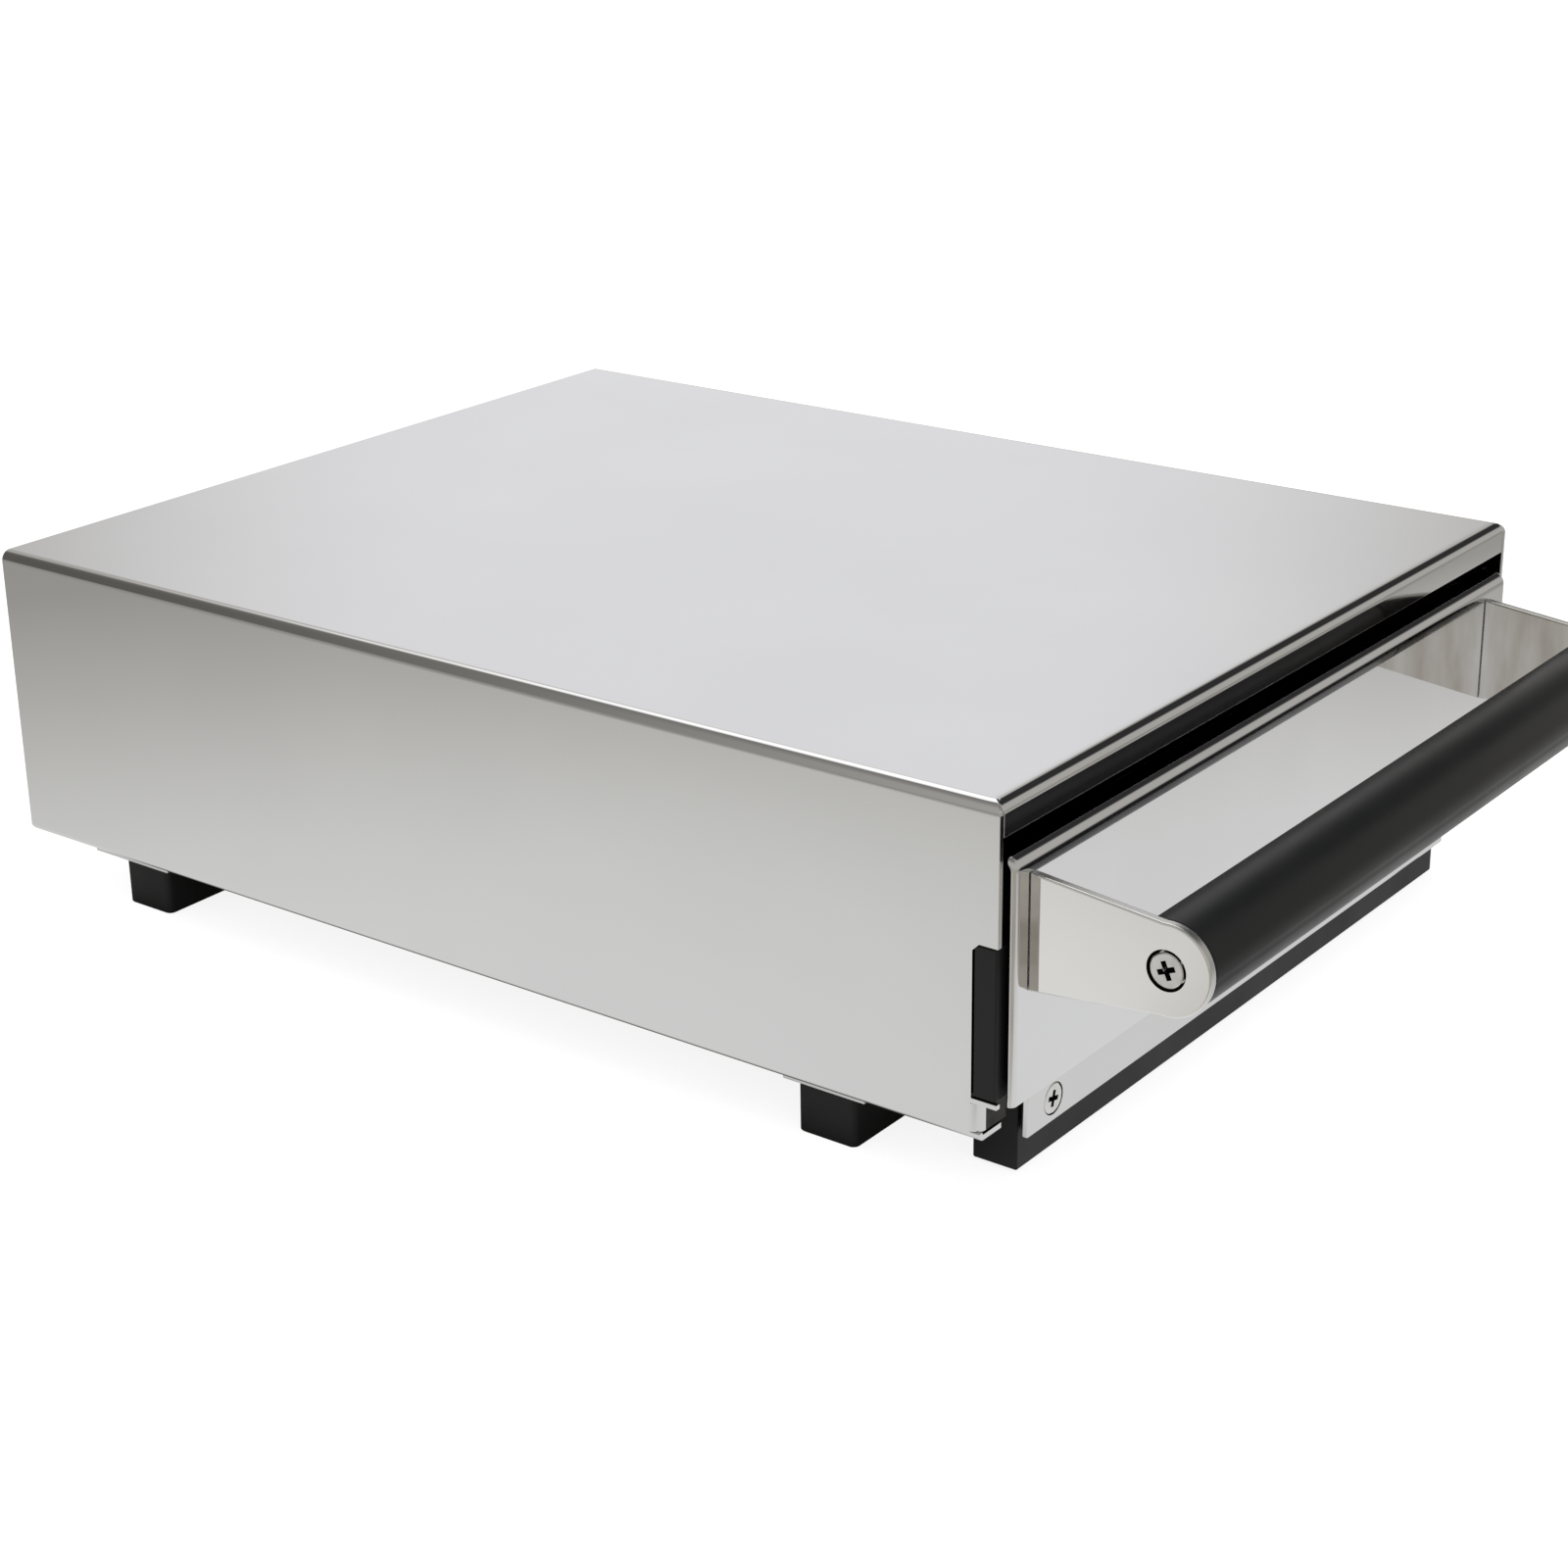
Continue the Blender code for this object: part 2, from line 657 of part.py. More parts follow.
def build_handle():
    for side, hand in sides:
        face = handle_shift + side * arm_face
        ends = sorted((face, face - side * arm_thickness))
        mesh = outline_mesh("arm_" + hand, arm_outline(), ends[0], ends[1], outline_along_x)
        arm = new_piece("handle_arm_" + hand, mesh, drawer, steel)
        spot = (face, bar_y, bar_z)
        screw_hole("arm_hole_" + hand, handle_screw, drawer, spot, (side, 0, 0), (arm,))
        new_screw("handle_screw_" + hand, handle_screw, drawer, spot, (side, 0, 0), True)
    along = axis_turn((1, 0, 0))
    place = (handle_shift - bar_half, bar_y, bar_z)
    bore = core_radius + gap
    length = 2 * bar_half
    profile = [(bore, length), (bar_radius - bar_edge, length), (bar_radius, length - bar_edge),
               (bar_radius, bar_edge), (bar_radius - bar_edge, 0), (bore, 0), (bore, length)]
    new_piece("handle_sleeve", turned_mesh("handle_sleeve", profile, round_steps), drawer, grip, place, along)
    new_piece("handle_core", tapped_rod("handle_core", core_radius, bar_half, handle_screw),
              drawer, steel, place, along)


def tapped_rod(name, radius, half, size):
    # A rod with a blind hole in each end for the screw's shank, turned as one profile.
    hole = size["shank"] + gap
    top = 2 * half
    profile = [(0, top - tapped_depth), (hole, top - tapped_depth), (hole, top), (radius, top),
               (radius, 0), (hole, 0), (hole, tapped_depth), (0, tapped_depth)]
    return turned_mesh(name, profile, round_steps)


def build_knock_bar(pan):
    rod_half = pan_half - pan_wall - gap
    height = pan_top - knock_bar_drop
    place = (-rod_half, knock_bar_place, height)
    along = axis_turn((1, 0, 0))
    new_piece("knock_rod", tapped_rod("knock_rod", knock_rod_radius, rod_half, knock_screw),
              drawer, steel, place, along)
    bore = knock_rod_radius + gap
    length = 2 * (rod_half - knock_sleeve_margin)
    shoulder = knock_sleeve_radius - knock_sleeve_edge
    upper = arc_points((shoulder, length - knock_sleeve_edge), knock_sleeve_edge, pi / 2, -pi / 2, fold_steps)
    lower = arc_points((shoulder, knock_sleeve_edge), knock_sleeve_edge, 0, -pi / 2, fold_steps)
    profile = [(bore, length)] + upper + lower + [(bore, 0), (bore, length)]
    place = (knock_sleeve_margin - rod_half, knock_bar_place, height)
    new_piece("knock_sleeve", turned_mesh("knock_sleeve", profile, round_steps), drawer, rubber, place, along)
    for side, hand in sides:
        spot = (side * (pan_half + gap), knock_bar_place, height)
        screw_hole("knock_hole_" + hand, knock_screw, drawer, spot, (side, 0, 0), (pan,))
        new_screw("knock_screw_" + hand, knock_screw, drawer, spot, (side, 0, 0), False)


def build_catch():
    top = housing_height - sheet - gap - stop_angle_drop + catch_overlap
    low = (-catch_width / 2, pan_rear + gap, pan_top - catch_foot)
    high = (catch_width / 2, pan_rear + gap + sheet, top)
    new_piece("stop_catch", block_mesh("stop_catch", low, high), drawer, steel)


smooth_angle = pi / 6

clear_scene()
parts = new_collection("coffee_knock_drawer")
cutters = new_collection("cutters")
steel = new_material("stainless_steel", (0.72, 0.72, 0.71), 0.28, 1)
mirror = new_material("polished_steel", (0.80, 0.80, 0.80), 0.08, 1)
plastic = new_material("black_plastic", (0.030, 0.031, 0.032), 0.55, 0)
rubber = new_material("black_rubber", (0.022, 0.022, 0.023), 0.75, 0)
grip = new_material("handle_grip", (0.040, 0.042, 0.044), 0.45, 0)
housing = new_frame("housing_frame")
drawer = new_frame("drawer_slide")

housing_shell = build_housing_shell()
build_rear_panel()
build_feet_and_straps()
build_runners(housing_shell)
build_stops()
drawer_pan = build_pan()
front_panel, front_board = build_drawer_front()
drawer_plank = build_skirt()
build_drawer_screws(drawer_pan, front_board, drawer_plank)
build_handle()
build_knock_bar(drawer_pan)
build_catch()
bpy.context.view_layer.update()
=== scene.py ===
from math import asin, atan2, cos, pi, radians, sin

import bmesh
import bpy
from mathutils import Matrix, Vector


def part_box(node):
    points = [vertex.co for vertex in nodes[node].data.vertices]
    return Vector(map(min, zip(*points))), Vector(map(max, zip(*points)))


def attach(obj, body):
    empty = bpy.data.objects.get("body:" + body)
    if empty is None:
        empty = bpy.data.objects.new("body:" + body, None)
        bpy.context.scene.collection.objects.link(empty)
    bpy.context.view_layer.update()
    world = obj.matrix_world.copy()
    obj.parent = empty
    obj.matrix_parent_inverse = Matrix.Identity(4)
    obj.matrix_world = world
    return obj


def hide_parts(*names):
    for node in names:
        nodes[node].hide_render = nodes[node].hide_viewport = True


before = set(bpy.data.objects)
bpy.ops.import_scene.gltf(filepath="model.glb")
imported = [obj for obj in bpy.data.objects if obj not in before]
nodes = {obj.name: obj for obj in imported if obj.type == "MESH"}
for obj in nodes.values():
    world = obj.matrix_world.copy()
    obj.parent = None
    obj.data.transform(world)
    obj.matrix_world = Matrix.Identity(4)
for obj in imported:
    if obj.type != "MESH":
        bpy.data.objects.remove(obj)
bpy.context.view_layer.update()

shellLow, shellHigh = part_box("housing_shell")
halfWidth = shellHigh.x
frontY = shellLow.y
rearY = shellHigh.y
underZ = shellLow.z  # the housing's underside; the counter is at 0
topZ = shellHigh.z
sheet = 0.0015
tiny = 0.00001
merged = tiny / 4  # points closer than this become one
beside = 0.0003  # how far a supporting line lies from its fold
sharpAngle = radians(50)  # edges above it are rounded in the shape itself
bevelAngle = radians(40)  # and above this one by a modifier
smoothAngle = radians(35)
wallLean = 0.95  # a hole's walls lean less than this towards its axis
wallSlack = 1.01
middleStop = 0.5
rollTurns = [radians(angle) for angle in (90, 67.5, 45, 22.5, 0)]
sides = ((-1, "left"), (1, "right"))
print("frame loaded, housing", round(rearY - frontY, 4), "m deep")


# Small tools

def isVert(item):
    return isinstance(item, bmesh.types.BMVert)


def isEdge(item):
    return isinstance(item, bmesh.types.BMEdge)


def near(one, other):
    return abs(one - other) < tiny


def startLine(points):
    shape = bmesh.new()
    corners = [shape.verts.new(point) for point in points]
    for one, other in zip(corners, corners[1:]):
        shape.edges.new((one, other))
    return shape


def sweepEdges(shape, edges, step):
    grown = bmesh.ops.extrude_edge_only(shape, edges=edges)
    moved = [item for item in grown["geom"] if isVert(item)]
    bmesh.ops.translate(shape, verts=moved, vec=step)
    moved = set(moved)
    return [item for item in grown["geom"] if isEdge(item) and set(item.verts) <= moved]


def rollEdges(shape, edges, centre, axis, angle, steps):
    rolled = bmesh.ops.spin(shape, geom=edges, cent=centre, axis=axis, angle=angle, steps=steps)
    return [item for item in rolled["geom_last"] if isEdge(item)]


def arc(centre, radius, start, sweep, steps):
    angles = [start + sweep * step / steps for step in range(steps + 1)]
    return [(centre[0] + radius * cos(angle), centre[1] + radius * sin(angle)) for angle in angles]


def turnedShape(profile, steps):
    # profile is (radius, height) from the top down the outer side; it is spun about Z
    shape = startLine([(radius, 0, height) for radius, height in profile])
    bmesh.ops.spin(shape, geom=shape.verts[:] + shape.edges[:], cent=(0, 0, 0), axis=(0, 0, 1),
                   angle=2 * pi, steps=steps, use_merge=True)
    bmesh.ops.remove_doubles(shape, verts=shape.verts[:], dist=merged)
    bmesh.ops.recalc_face_normals(shape, faces=shape.faces[:])
    return shape


def blockShape(low, high):
    shape = bmesh.new()
    low, high = Vector(low), Vector(high)
    place = Matrix.Translation((low + high) / 2) @ Matrix.Diagonal((*(high - low), 1))
    bmesh.ops.create_cube(shape, size=1, matrix=place)
    return shape


def plateShape(outline, thickness):
    # a flat outline in XY, raised along Z
    shape = bmesh.new()
    face = shape.faces.new([shape.verts.new((across, up, 0)) for across, up in outline])
    grown = bmesh.ops.extrude_face_region(shape, geom=[face])
    bmesh.ops.translate(shape, verts=[item for item in grown["geom"] if isVert(item)], vec=(0, 0, thickness))
    bmesh.ops.recalc_face_normals(shape, faces=shape.faces[:])
    return shape


def softenEdges(shape, width, steps, holes=(), root=None):
    # rounds the outer edges, but not those around the (centre, radius) holes or at the root's depth along Y
    edges = [edge for edge in shape.edges
             if len(edge.link_faces) == 2 and edge.calc_face_angle() > sharpAngle
             and all((vert.co - centre).length > radius for vert in edge.verts for centre, radius in holes)
             and (root is None or not all(near(vert.co.y, root) for vert in edge.verts))]
    rounded = bmesh.ops.bevel(shape, geom=edges, offset=width, segments=steps, profile=0.5, affect="EDGES",
                              material=-1, clamp_overlap=True)
    fresh = set(rounded["faces"])
    for edge in {edge for face in fresh for edge in face.edges}:
        if any(face not in fresh for face in edge.link_faces):
            edge.smooth = False


def supported(path, reach=beside):
    # adds a point near both ends of each straight stretch, which keeps its faces flat to the eye
    result = [path[0]]
    for start, end in zip(path, path[1:]):
        start, end = Vector(start), Vector(end)
        step = end - start
        if step.length > 5 * reach:
            result += [tuple(start + step.normalized() * reach), tuple(end - step.normalized() * reach)]
        result.append(tuple(end))
    return result


def settled(shape):
    # the same shape with its points and faces in order of place: spins and sweeps give them in no fixed order,
    # which a later cut would turn into other triangles on each run
    result = bmesh.new()
    fresh = {vert: result.verts.new(vert.co) for vert in sorted(shape.verts, key=lambda vert: vert.co[:])}
    result.verts.index_update()
    cycles = []
    for face in shape.faces:
        corners = [fresh[vert] for vert in face.verts]
        order = [corner.index for corner in corners]
        start = order.index(min(order))
        cycles.append((order[start:] + order[:start], corners[start:] + corners[:start], face))
    for _, corners, face in sorted(cycles, key=lambda cycle: cycle[0]):
        result.faces.new(corners).material_index = face.material_index
    for edge in shape.edges:
        if not edge.smooth:
            result.edges.get([fresh[vert] for vert in edge.verts]).smooth = False
    result.normal_update()
    shape.free()
    return result


def carved(shape, cutters):
    # cuts closed shapes out of a closed shape, and hands back the result as a new shape
    body = bpy.data.objects.new("carvedBody", bpy.data.meshes.new("carvedBody"))
    shape = settled(shape)
    shape.to_mesh(body.data)
    shape.free()
    bpy.context.scene.collection.objects.link(body)
    helpers = []
    for cutter in cutters:
        helper = bpy.data.objects.new("carvingTool", bpy.data.meshes.new("carvingTool"))
        cutter = settled(cutter)
        cutter.to_mesh(helper.data)
        cutter.free()
        bpy.context.scene.collection.objects.link(helper)
        change = body.modifiers.new("cut", "BOOLEAN")
        change.operation = "DIFFERENCE"
        change.solver = "EXACT"
        change.object = helper
        helpers.append(helper)
    bpy.context.view_layer.update()
    seen = body.evaluated_get(bpy.context.evaluated_depsgraph_get())
    result = bmesh.new()
    result.from_mesh(seen.to_mesh())
    seen.to_mesh_clear()
    for item in helpers + [body]:
        bpy.data.objects.remove(item, do_unlink=True)
    bmesh.ops.remove_doubles(result, verts=result.verts[:], dist=merged)
    bmesh.ops.dissolve_degenerate(result, edges=result.edges[:], dist=merged)
    return result


def shadeHole(shape, mouth, axis, radius):
    # the walls of a hole or recess take the piece's second finish
    for face in shape.faces:
        away = face.calc_center_median() - mouth
        away -= axis * away.dot(axis)
        if away.length < radius * wallSlack and abs(face.normal.dot(axis)) < wallLean:
            face.material_index = 1


def addPiece(name, shape, finish, body, replaced, smooth=smoothAngle, inner=None):
    for edge in shape.edges:
        if len(edge.link_faces) == 2 and edge.calc_face_angle() > smooth:
            edge.smooth = False
    mesh = bpy.data.meshes.new(name)
    shape = settled(shape)
    for face in shape.faces:
        face.smooth = True
    shape.to_mesh(mesh)
    shape.free()
    mesh.materials.append(finish)
    if inner:
        mesh.materials.append(inner)
    piece = bpy.data.objects.new(name, mesh)
    bpy.context.scene.collection.objects.link(piece)
    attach(piece, body)
    if replaced:
        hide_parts(*replaced)
    return piece


def thicken(piece, thickness, offset=-1):
    change = piece.modifiers.new("sheet", "SOLIDIFY")
    change.thickness = thickness
    change.offset = offset
    change.use_even_offset = True
    return change


def roundEdges(piece, width, steps):
    change = piece.modifiers.new("edges", "BEVEL")
    change.width = width
    change.segments = steps
    change.limit_method = "ANGLE"
    change.angle_limit = bevelAngle
    change.harden_normals = True
    return change


def dressNode(name, finish):
    mesh = nodes[name].data
    mesh.materials.clear()
    mesh.materials.append(finish)


# Finishes

grainShape = {"noiseLow": 0.3, "noiseHigh": 0.7, "strokeDetail": 6, "detail": 4, "cloudDetail": 3,
              "strokeHeight": 0.0001, "speckleHeight": 0.0002}


def startFinish(name, colour, roughness, metallic):
    finish = bpy.data.materials.new(name)
    finish.use_nodes = True
    tree = finish.node_tree
    shader = tree.nodes["Principled BSDF"]
    shader.inputs["Base Color"].default_value = (*colour, 1)
    shader.inputs["Roughness"].default_value = roughness
    shader.inputs["Metallic"].default_value = metallic
    return finish, tree, shader


def addNoise(tree, scales, noiseScale, detail):
    # noise on the piece's own coordinates, drawn out along the axis with the smallest scale
    place = tree.nodes.new("ShaderNodeTexCoord")
    stretch = tree.nodes.new("ShaderNodeMapping")
    stretch.inputs["Scale"].default_value = scales
    noise = tree.nodes.new("ShaderNodeTexNoise")
    noise.inputs["Scale"].default_value = noiseScale
    noise.inputs["Detail"].default_value = detail
    tree.links.new(place.outputs["Object"], stretch.inputs["Vector"])
    tree.links.new(stretch.outputs["Vector"], noise.inputs["Vector"])
    return noise.outputs["Fac"]


def addRange(tree, value, low, high):
    span = tree.nodes.new("ShaderNodeMapRange")
    span.inputs["From Min"].default_value = grainShape["noiseLow"]
    span.inputs["From Max"].default_value = grainShape["noiseHigh"]
    span.inputs["To Min"].default_value = low
    span.inputs["To Max"].default_value = high
    tree.links.new(value, span.inputs["Value"])
    return span.outputs["Result"]


def addBump(tree, shader, value, strength, depth):
    bump = tree.nodes.new("ShaderNodeBump")
    bump.inputs["Strength"].default_value = strength
    bump.inputs["Distance"].default_value = depth
    tree.links.new(value, bump.inputs["Height"])
    tree.links.new(bump.outputs["Normal"], shader.inputs["Normal"])


def addTint(tree, shader, value, dark, pale):
    mix = tree.nodes.new("ShaderNodeMix")
    mix.data_type = "RGBA"
    mix.inputs["A"].default_value = (*dark, 1)
    mix.inputs["B"].default_value = (*pale, 1)
    tree.links.new(value, mix.inputs["Factor"])
    tree.links.new(mix.outputs["Result"], shader.inputs["Base Color"])


def steelFinish(name, look, grain):
    # grain is the brushing's scale along X, Y and Z: small along the strokes
    finish, tree, shader = startFinish(name, look["pale"], look["smooth"], 1)
    strokes = addNoise(tree, grain, look["strokeScale"], grainShape["strokeDetail"])
    clouds = addNoise(tree, look["cloudShape"], look["cloudScale"], grainShape["detail"])
    tree.links.new(addRange(tree, strokes, look["smooth"], look["rough"]), shader.inputs["Roughness"])
    addTint(tree, shader, addRange(tree, clouds, 0, 1), look["dark"], look["pale"])
    addBump(tree, shader, strokes, look["strokeDepth"], grainShape["strokeHeight"])
    return finish


def blackFinish(name, look):
    finish, tree, shader = startFinish(name, look["pale"], look["smooth"], 0)
    shader.inputs["Specular IOR Level"].default_value = look["gloss"]
    speckle = addNoise(tree, (1, 1, 1), look["speckleScale"], grainShape["detail"])
    clouds = addNoise(tree, (1, 1, 1), look["cloudScale"], grainShape["cloudDetail"])
    tree.links.new(addRange(tree, clouds, look["smooth"], look["rough"]), shader.inputs["Roughness"])
    addTint(tree, shader, clouds, look["dark"], look["pale"])
    addBump(tree, shader, speckle, look["speckleDepth"], grainShape["speckleHeight"])
    return finish


satinLook = {
    "dark": (0.675, 0.675, 0.678),
    "pale": (0.70, 0.70, 0.70),
    "smooth": 0.055,
    "rough": 0.095,
    "strokeScale": 60,
    "strokeDepth": 0.012,
    "cloudScale": 14,
    "cloudShape": (1, 1, 1),
}
mirrorLook = {
    "dark": (0.685, 0.685, 0.695),
    "pale": (0.715, 0.715, 0.73),
    "smooth": 0.015,
    "rough": 0.03,
    "strokeScale": 60,
    "strokeDepth": 0.002,
    "cloudScale": 22,
    "cloudShape": (1, 1, 1),
}
armLook = dict(mirrorLook, dark=(0.77, 0.765, 0.75), pale=(0.80, 0.795, 0.78))
stripLook = {
    "dark": (0.62, 0.625, 0.622),
    "pale": (0.65, 0.655, 0.652),
    "smooth": 0.03,
    "rough": 0.06,
    "strokeScale": 60,
    "strokeDepth": 0.004,
    "cloudScale": 22,
    "cloudShape": (1, 1, 1),
}
# a darker copy of the arm steel with brown mottled clouds: a painted reflection of brown surroundings, given to
# the far arm
farArmReflectionLook = {
    "dark": (0.46, 0.425, 0.375),
    "pale": (0.66, 0.645, 0.62),
    "smooth": 0.03,
    "rough": 0.07,
    "strokeScale": 60,
    "strokeDepth": 0.004,
    "cloudScale": 55,
    "cloudShape": (1, 2.4, 0.6),
}
shadedLook = {
    "dark": (0.035, 0.034, 0.032),
    "pale": (0.055, 0.053, 0.050),
    "smooth": 0.50,
    "rough": 0.65,
    "strokeScale": 400,
    "strokeDepth": 0.05,
    "cloudScale": 300,
    "cloudShape": (1, 1, 1),
}
insideLook = {
    "dark": (0.58, 0.58, 0.575),
    "pale": (0.66, 0.66, 0.655),
    "smooth": 0.28,
    "rough": 0.38,
    "strokeScale": 60,
    "strokeDepth": 0.05,
    "cloudScale": 20,
    "cloudShape": (1, 1, 1),
}
screwLook = {
    "dark": (0.60, 0.595, 0.58),
    "pale": (0.70, 0.695, 0.68),
    "smooth": 0.16,
    "rough": 0.28,
    "strokeScale": 400,
    "strokeDepth": 0.05,
    "cloudScale": 300,
    "cloudShape": (1, 1, 1),
}
plasticLook = {
    "dark": (0.0065, 0.0068, 0.0072),
    "pale": (0.0095, 0.0098, 0.0103),
    "smooth": 0.42,
    "rough": 0.52,
    "gloss": 0.32,
    "speckleScale": 1400,
    "speckleDepth": 0.05,
    "cloudScale": 40,
}
plankLook = dict(plasticLook, dark=(0.0082, 0.0085, 0.0089), pale=(0.0115, 0.0118, 0.0124), gloss=0.2)
gripLook = {
    "dark": (0.0122, 0.0127, 0.0133),
    "pale": (0.0152, 0.0157, 0.0165),
    "smooth": 0.34,
    "rough": 0.40,
    "gloss": 0.22,
    "speckleScale": 1800,
    "speckleDepth": 0.06,
    "cloudScale": 60,
}
rubberLook = {
    "dark": (0.008, 0.008, 0.0085),
    "pale": (0.012, 0.012, 0.0125),
    "smooth": 0.60,
    "rough": 0.72,
    "gloss": 0.4,
    "speckleScale": 1200,
    "speckleDepth": 0.10,
    "cloudScale": 50,
}

alongDepth = (40, 0.6, 40)
alongWidth = (0.6, 40, 40)
noGrain = (1, 1, 1)
satinSteel = steelFinish("satinSteel", satinLook, alongDepth)
mirrorSteel = steelFinish("mirrorSteel", mirrorLook, alongWidth)
armSteel = steelFinish("armSteel", armLook, alongDepth)
stripSteel = steelFinish("stripSteel", stripLook, alongWidth)
farArmReflectionSteel = steelFinish("farArmReflectionSteel", farArmReflectionLook, alongDepth)
insideSteel = steelFinish("insideSteel", insideLook, alongDepth)
strapSteel = steelFinish("strapSteel", insideLook, alongWidth)
screwSteel = steelFinish("screwSteel", screwLook, noGrain)
shadedSteel = steelFinish("shadedSteel", shadedLook, noGrain)
blackPlastic = blackFinish("blackPlastic", plasticLook)
plankPlastic = blackFinish("plankPlastic", plankLook)
blackGrip = blackFinish("blackGrip", gripLook)
blackRubber = blackFinish("blackRubber", rubberLook)
print("finishes made")


# Housing: one folded sheet with notches, return tabs and a front lip

shellShape = {
    "topFold": 0.003,
    "lowFold": 0.002,
    "lipHeight": 0.0085,
    "flangeWidth": 0.0094,
    "notchDepth": 0.007,
    "notchLow": 0.011,
    "notchHigh": 0.050,
    "notchCorner": 0.0018,
    "tabSetback": 0.0046,
    "tabWidth": 0.0113,
    "tabFold": 0.0028,
    "tabHigh": 0.0097,
    "lipEnd": 0.0013,
    "lipEndDrop": 0.0001,
    "rearCut": 0.002,
    "slit": 0.0022,
    "foldSteps": 10,
    "edge": 0.00025,
}


def makeHousingShell():
    size = shellShape
    steps = size["foldSteps"]
    lowArc = arc((halfWidth - size["lowFold"], size["lowFold"]), size["lowFold"], -pi / 2, pi / 2, steps)
    highMiddle = (halfWidth - size["topFold"], topZ - underZ - size["topFold"])
    highArc = arc(highMiddle, size["topFold"], 0, pi / 2, steps)
    wall = [(halfWidth, size[key]) for key in ("slit", "tabHigh", "notchLow", "notchHigh")]
    right = supported([(halfWidth - size["flangeWidth"], 0)] + lowArc) + wall
    right += supported([(halfWidth, size["notchHigh"])] + highArc + [(0, topZ - underZ)])[1:]
    left = [(-across, up) for across, up in right[-2::-1]]
    shape = startLine([(across, frontY, underZ + up) for across, up in right + left])
    foldLine = size["tabSetback"] + size["tabFold"]
    stations = (0, size["tabSetback"], size["notchDepth"], foldLine, rearY - frontY)
    last = shape.edges[:]
    for start, end in zip(stations, stations[1:]):
        last = sweepEdges(shape, last, (0, end - start, 0))
    gone = []
    for face in shape.faces:
        middle = face.calc_center_median()
        deep = middle.y - frontY
        high = middle.z - underZ
        lowFront = high < size["slit"] and deep < size["tabSetback"]
        tabRoom = size["slit"] < high < size["tabHigh"] and deep < foldLine
        notch = size["notchLow"] < high < size["notchHigh"] and deep < size["notchDepth"]
        if lowFront or tabRoom or notch:
            gone.append(face)
    bmesh.ops.delete(shape, geom=gone, context="FACES")
    corners = [vert for vert in shape.verts
               if near(vert.co.y - frontY, size["notchDepth"]) and near(vert.co.z - underZ, size["notchHigh"])]
    bmesh.ops.bevel(shape, geom=corners, offset=size["notchCorner"], segments=1, profile=0.5,
                    affect="VERTICES", material=-1)

    # the top folds' front ends follow the lip's fold, and the low folds' rear ends are rounded off
    for vert in shape.verts:
        out = abs(vert.co.x) - halfWidth + size["topFold"]
        low = underZ + size["lowFold"] - vert.co.z
        if near(vert.co.y, frontY) and topZ - size["topFold"] < vert.co.z < topZ - tiny:
            vert.co.y += size["topFold"] - out
        elif near(vert.co.y, rearY) and low > 0:
            vert.co.y -= size["rearCut"] * (1 - max(0, 1 - (low / size["lowFold"]) ** 2) ** 0.5)
    lip = [edge for edge in shape.edges
           if all(near(vert.co.y, frontY) and near(vert.co.z, topZ) for vert in edge.verts)]
    lipPoints = list({vert for edge in lip for vert in edge.verts})
    bmesh.ops.translate(shape, verts=lipPoints, vec=(0, size["topFold"], 0))
    centre = (0, frontY + size["topFold"], topZ - size["topFold"])
    ends = rollEdges(shape, lip, centre, (1, 0, 0), pi / 2, steps)
    sweepEdges(shape, ends, (0, 0, size["topFold"] - size["lipHeight"]))
    for side, _ in sides:
        # the lip's ends reach out to the walls
        end = [edge for edge in shape.edges
               if all(near(vert.co.x, side * (halfWidth - size["topFold"]))
                      and vert.co.z < topZ - size["lipEndDrop"]
                      and vert.co.y < frontY + size["topFold"] - tiny for vert in edge.verts)]
        for edge in sweepEdges(shape, end, (side * size["lipEnd"], 0, 0)):
            for vert in edge.verts:
                rise = min(1, max(0, vert.co.z - topZ + size["topFold"]) / size["topFold"])
                out = min(size["lipEnd"], size["topFold"] * (1 - rise ** 2) ** 0.5)
                vert.co.x = side * (halfWidth - size["topFold"] + out)
        tab = [edge for edge in shape.edges
               if all(near(vert.co.x, side * halfWidth) and near(vert.co.y - frontY, foldLine)
                      and size["slit"] - tiny < vert.co.z - underZ < size["tabHigh"] + tiny
                      for vert in edge.verts)]
        centre = (side * (halfWidth - size["tabFold"]), frontY + foldLine, 0)
        ends = rollEdges(shape, tab, centre, (0, 0, 1), -side * pi / 2, steps)
        sweepEdges(shape, ends, (side * (size["tabFold"] - size["tabWidth"]), 0, 0))
    # the tab's front faces take the second finish, a dark steel: a painted dark reflection
    for face in shape.faces:
        middle = face.calc_center_median()
        if near(middle.y, frontY + size["tabSetback"]) and middle.z < underZ + size["tabHigh"]:
            face.material_index = 1
    bmesh.ops.recalc_face_normals(shape, faces=shape.faces[:])
    shell = addPiece("housingShell", shape, satinSteel, "housing", ["housing_shell"],
                     inner=shadedSteel)
    thicken(shell, sheet)
    roundEdges(shell, size["edge"], 2)


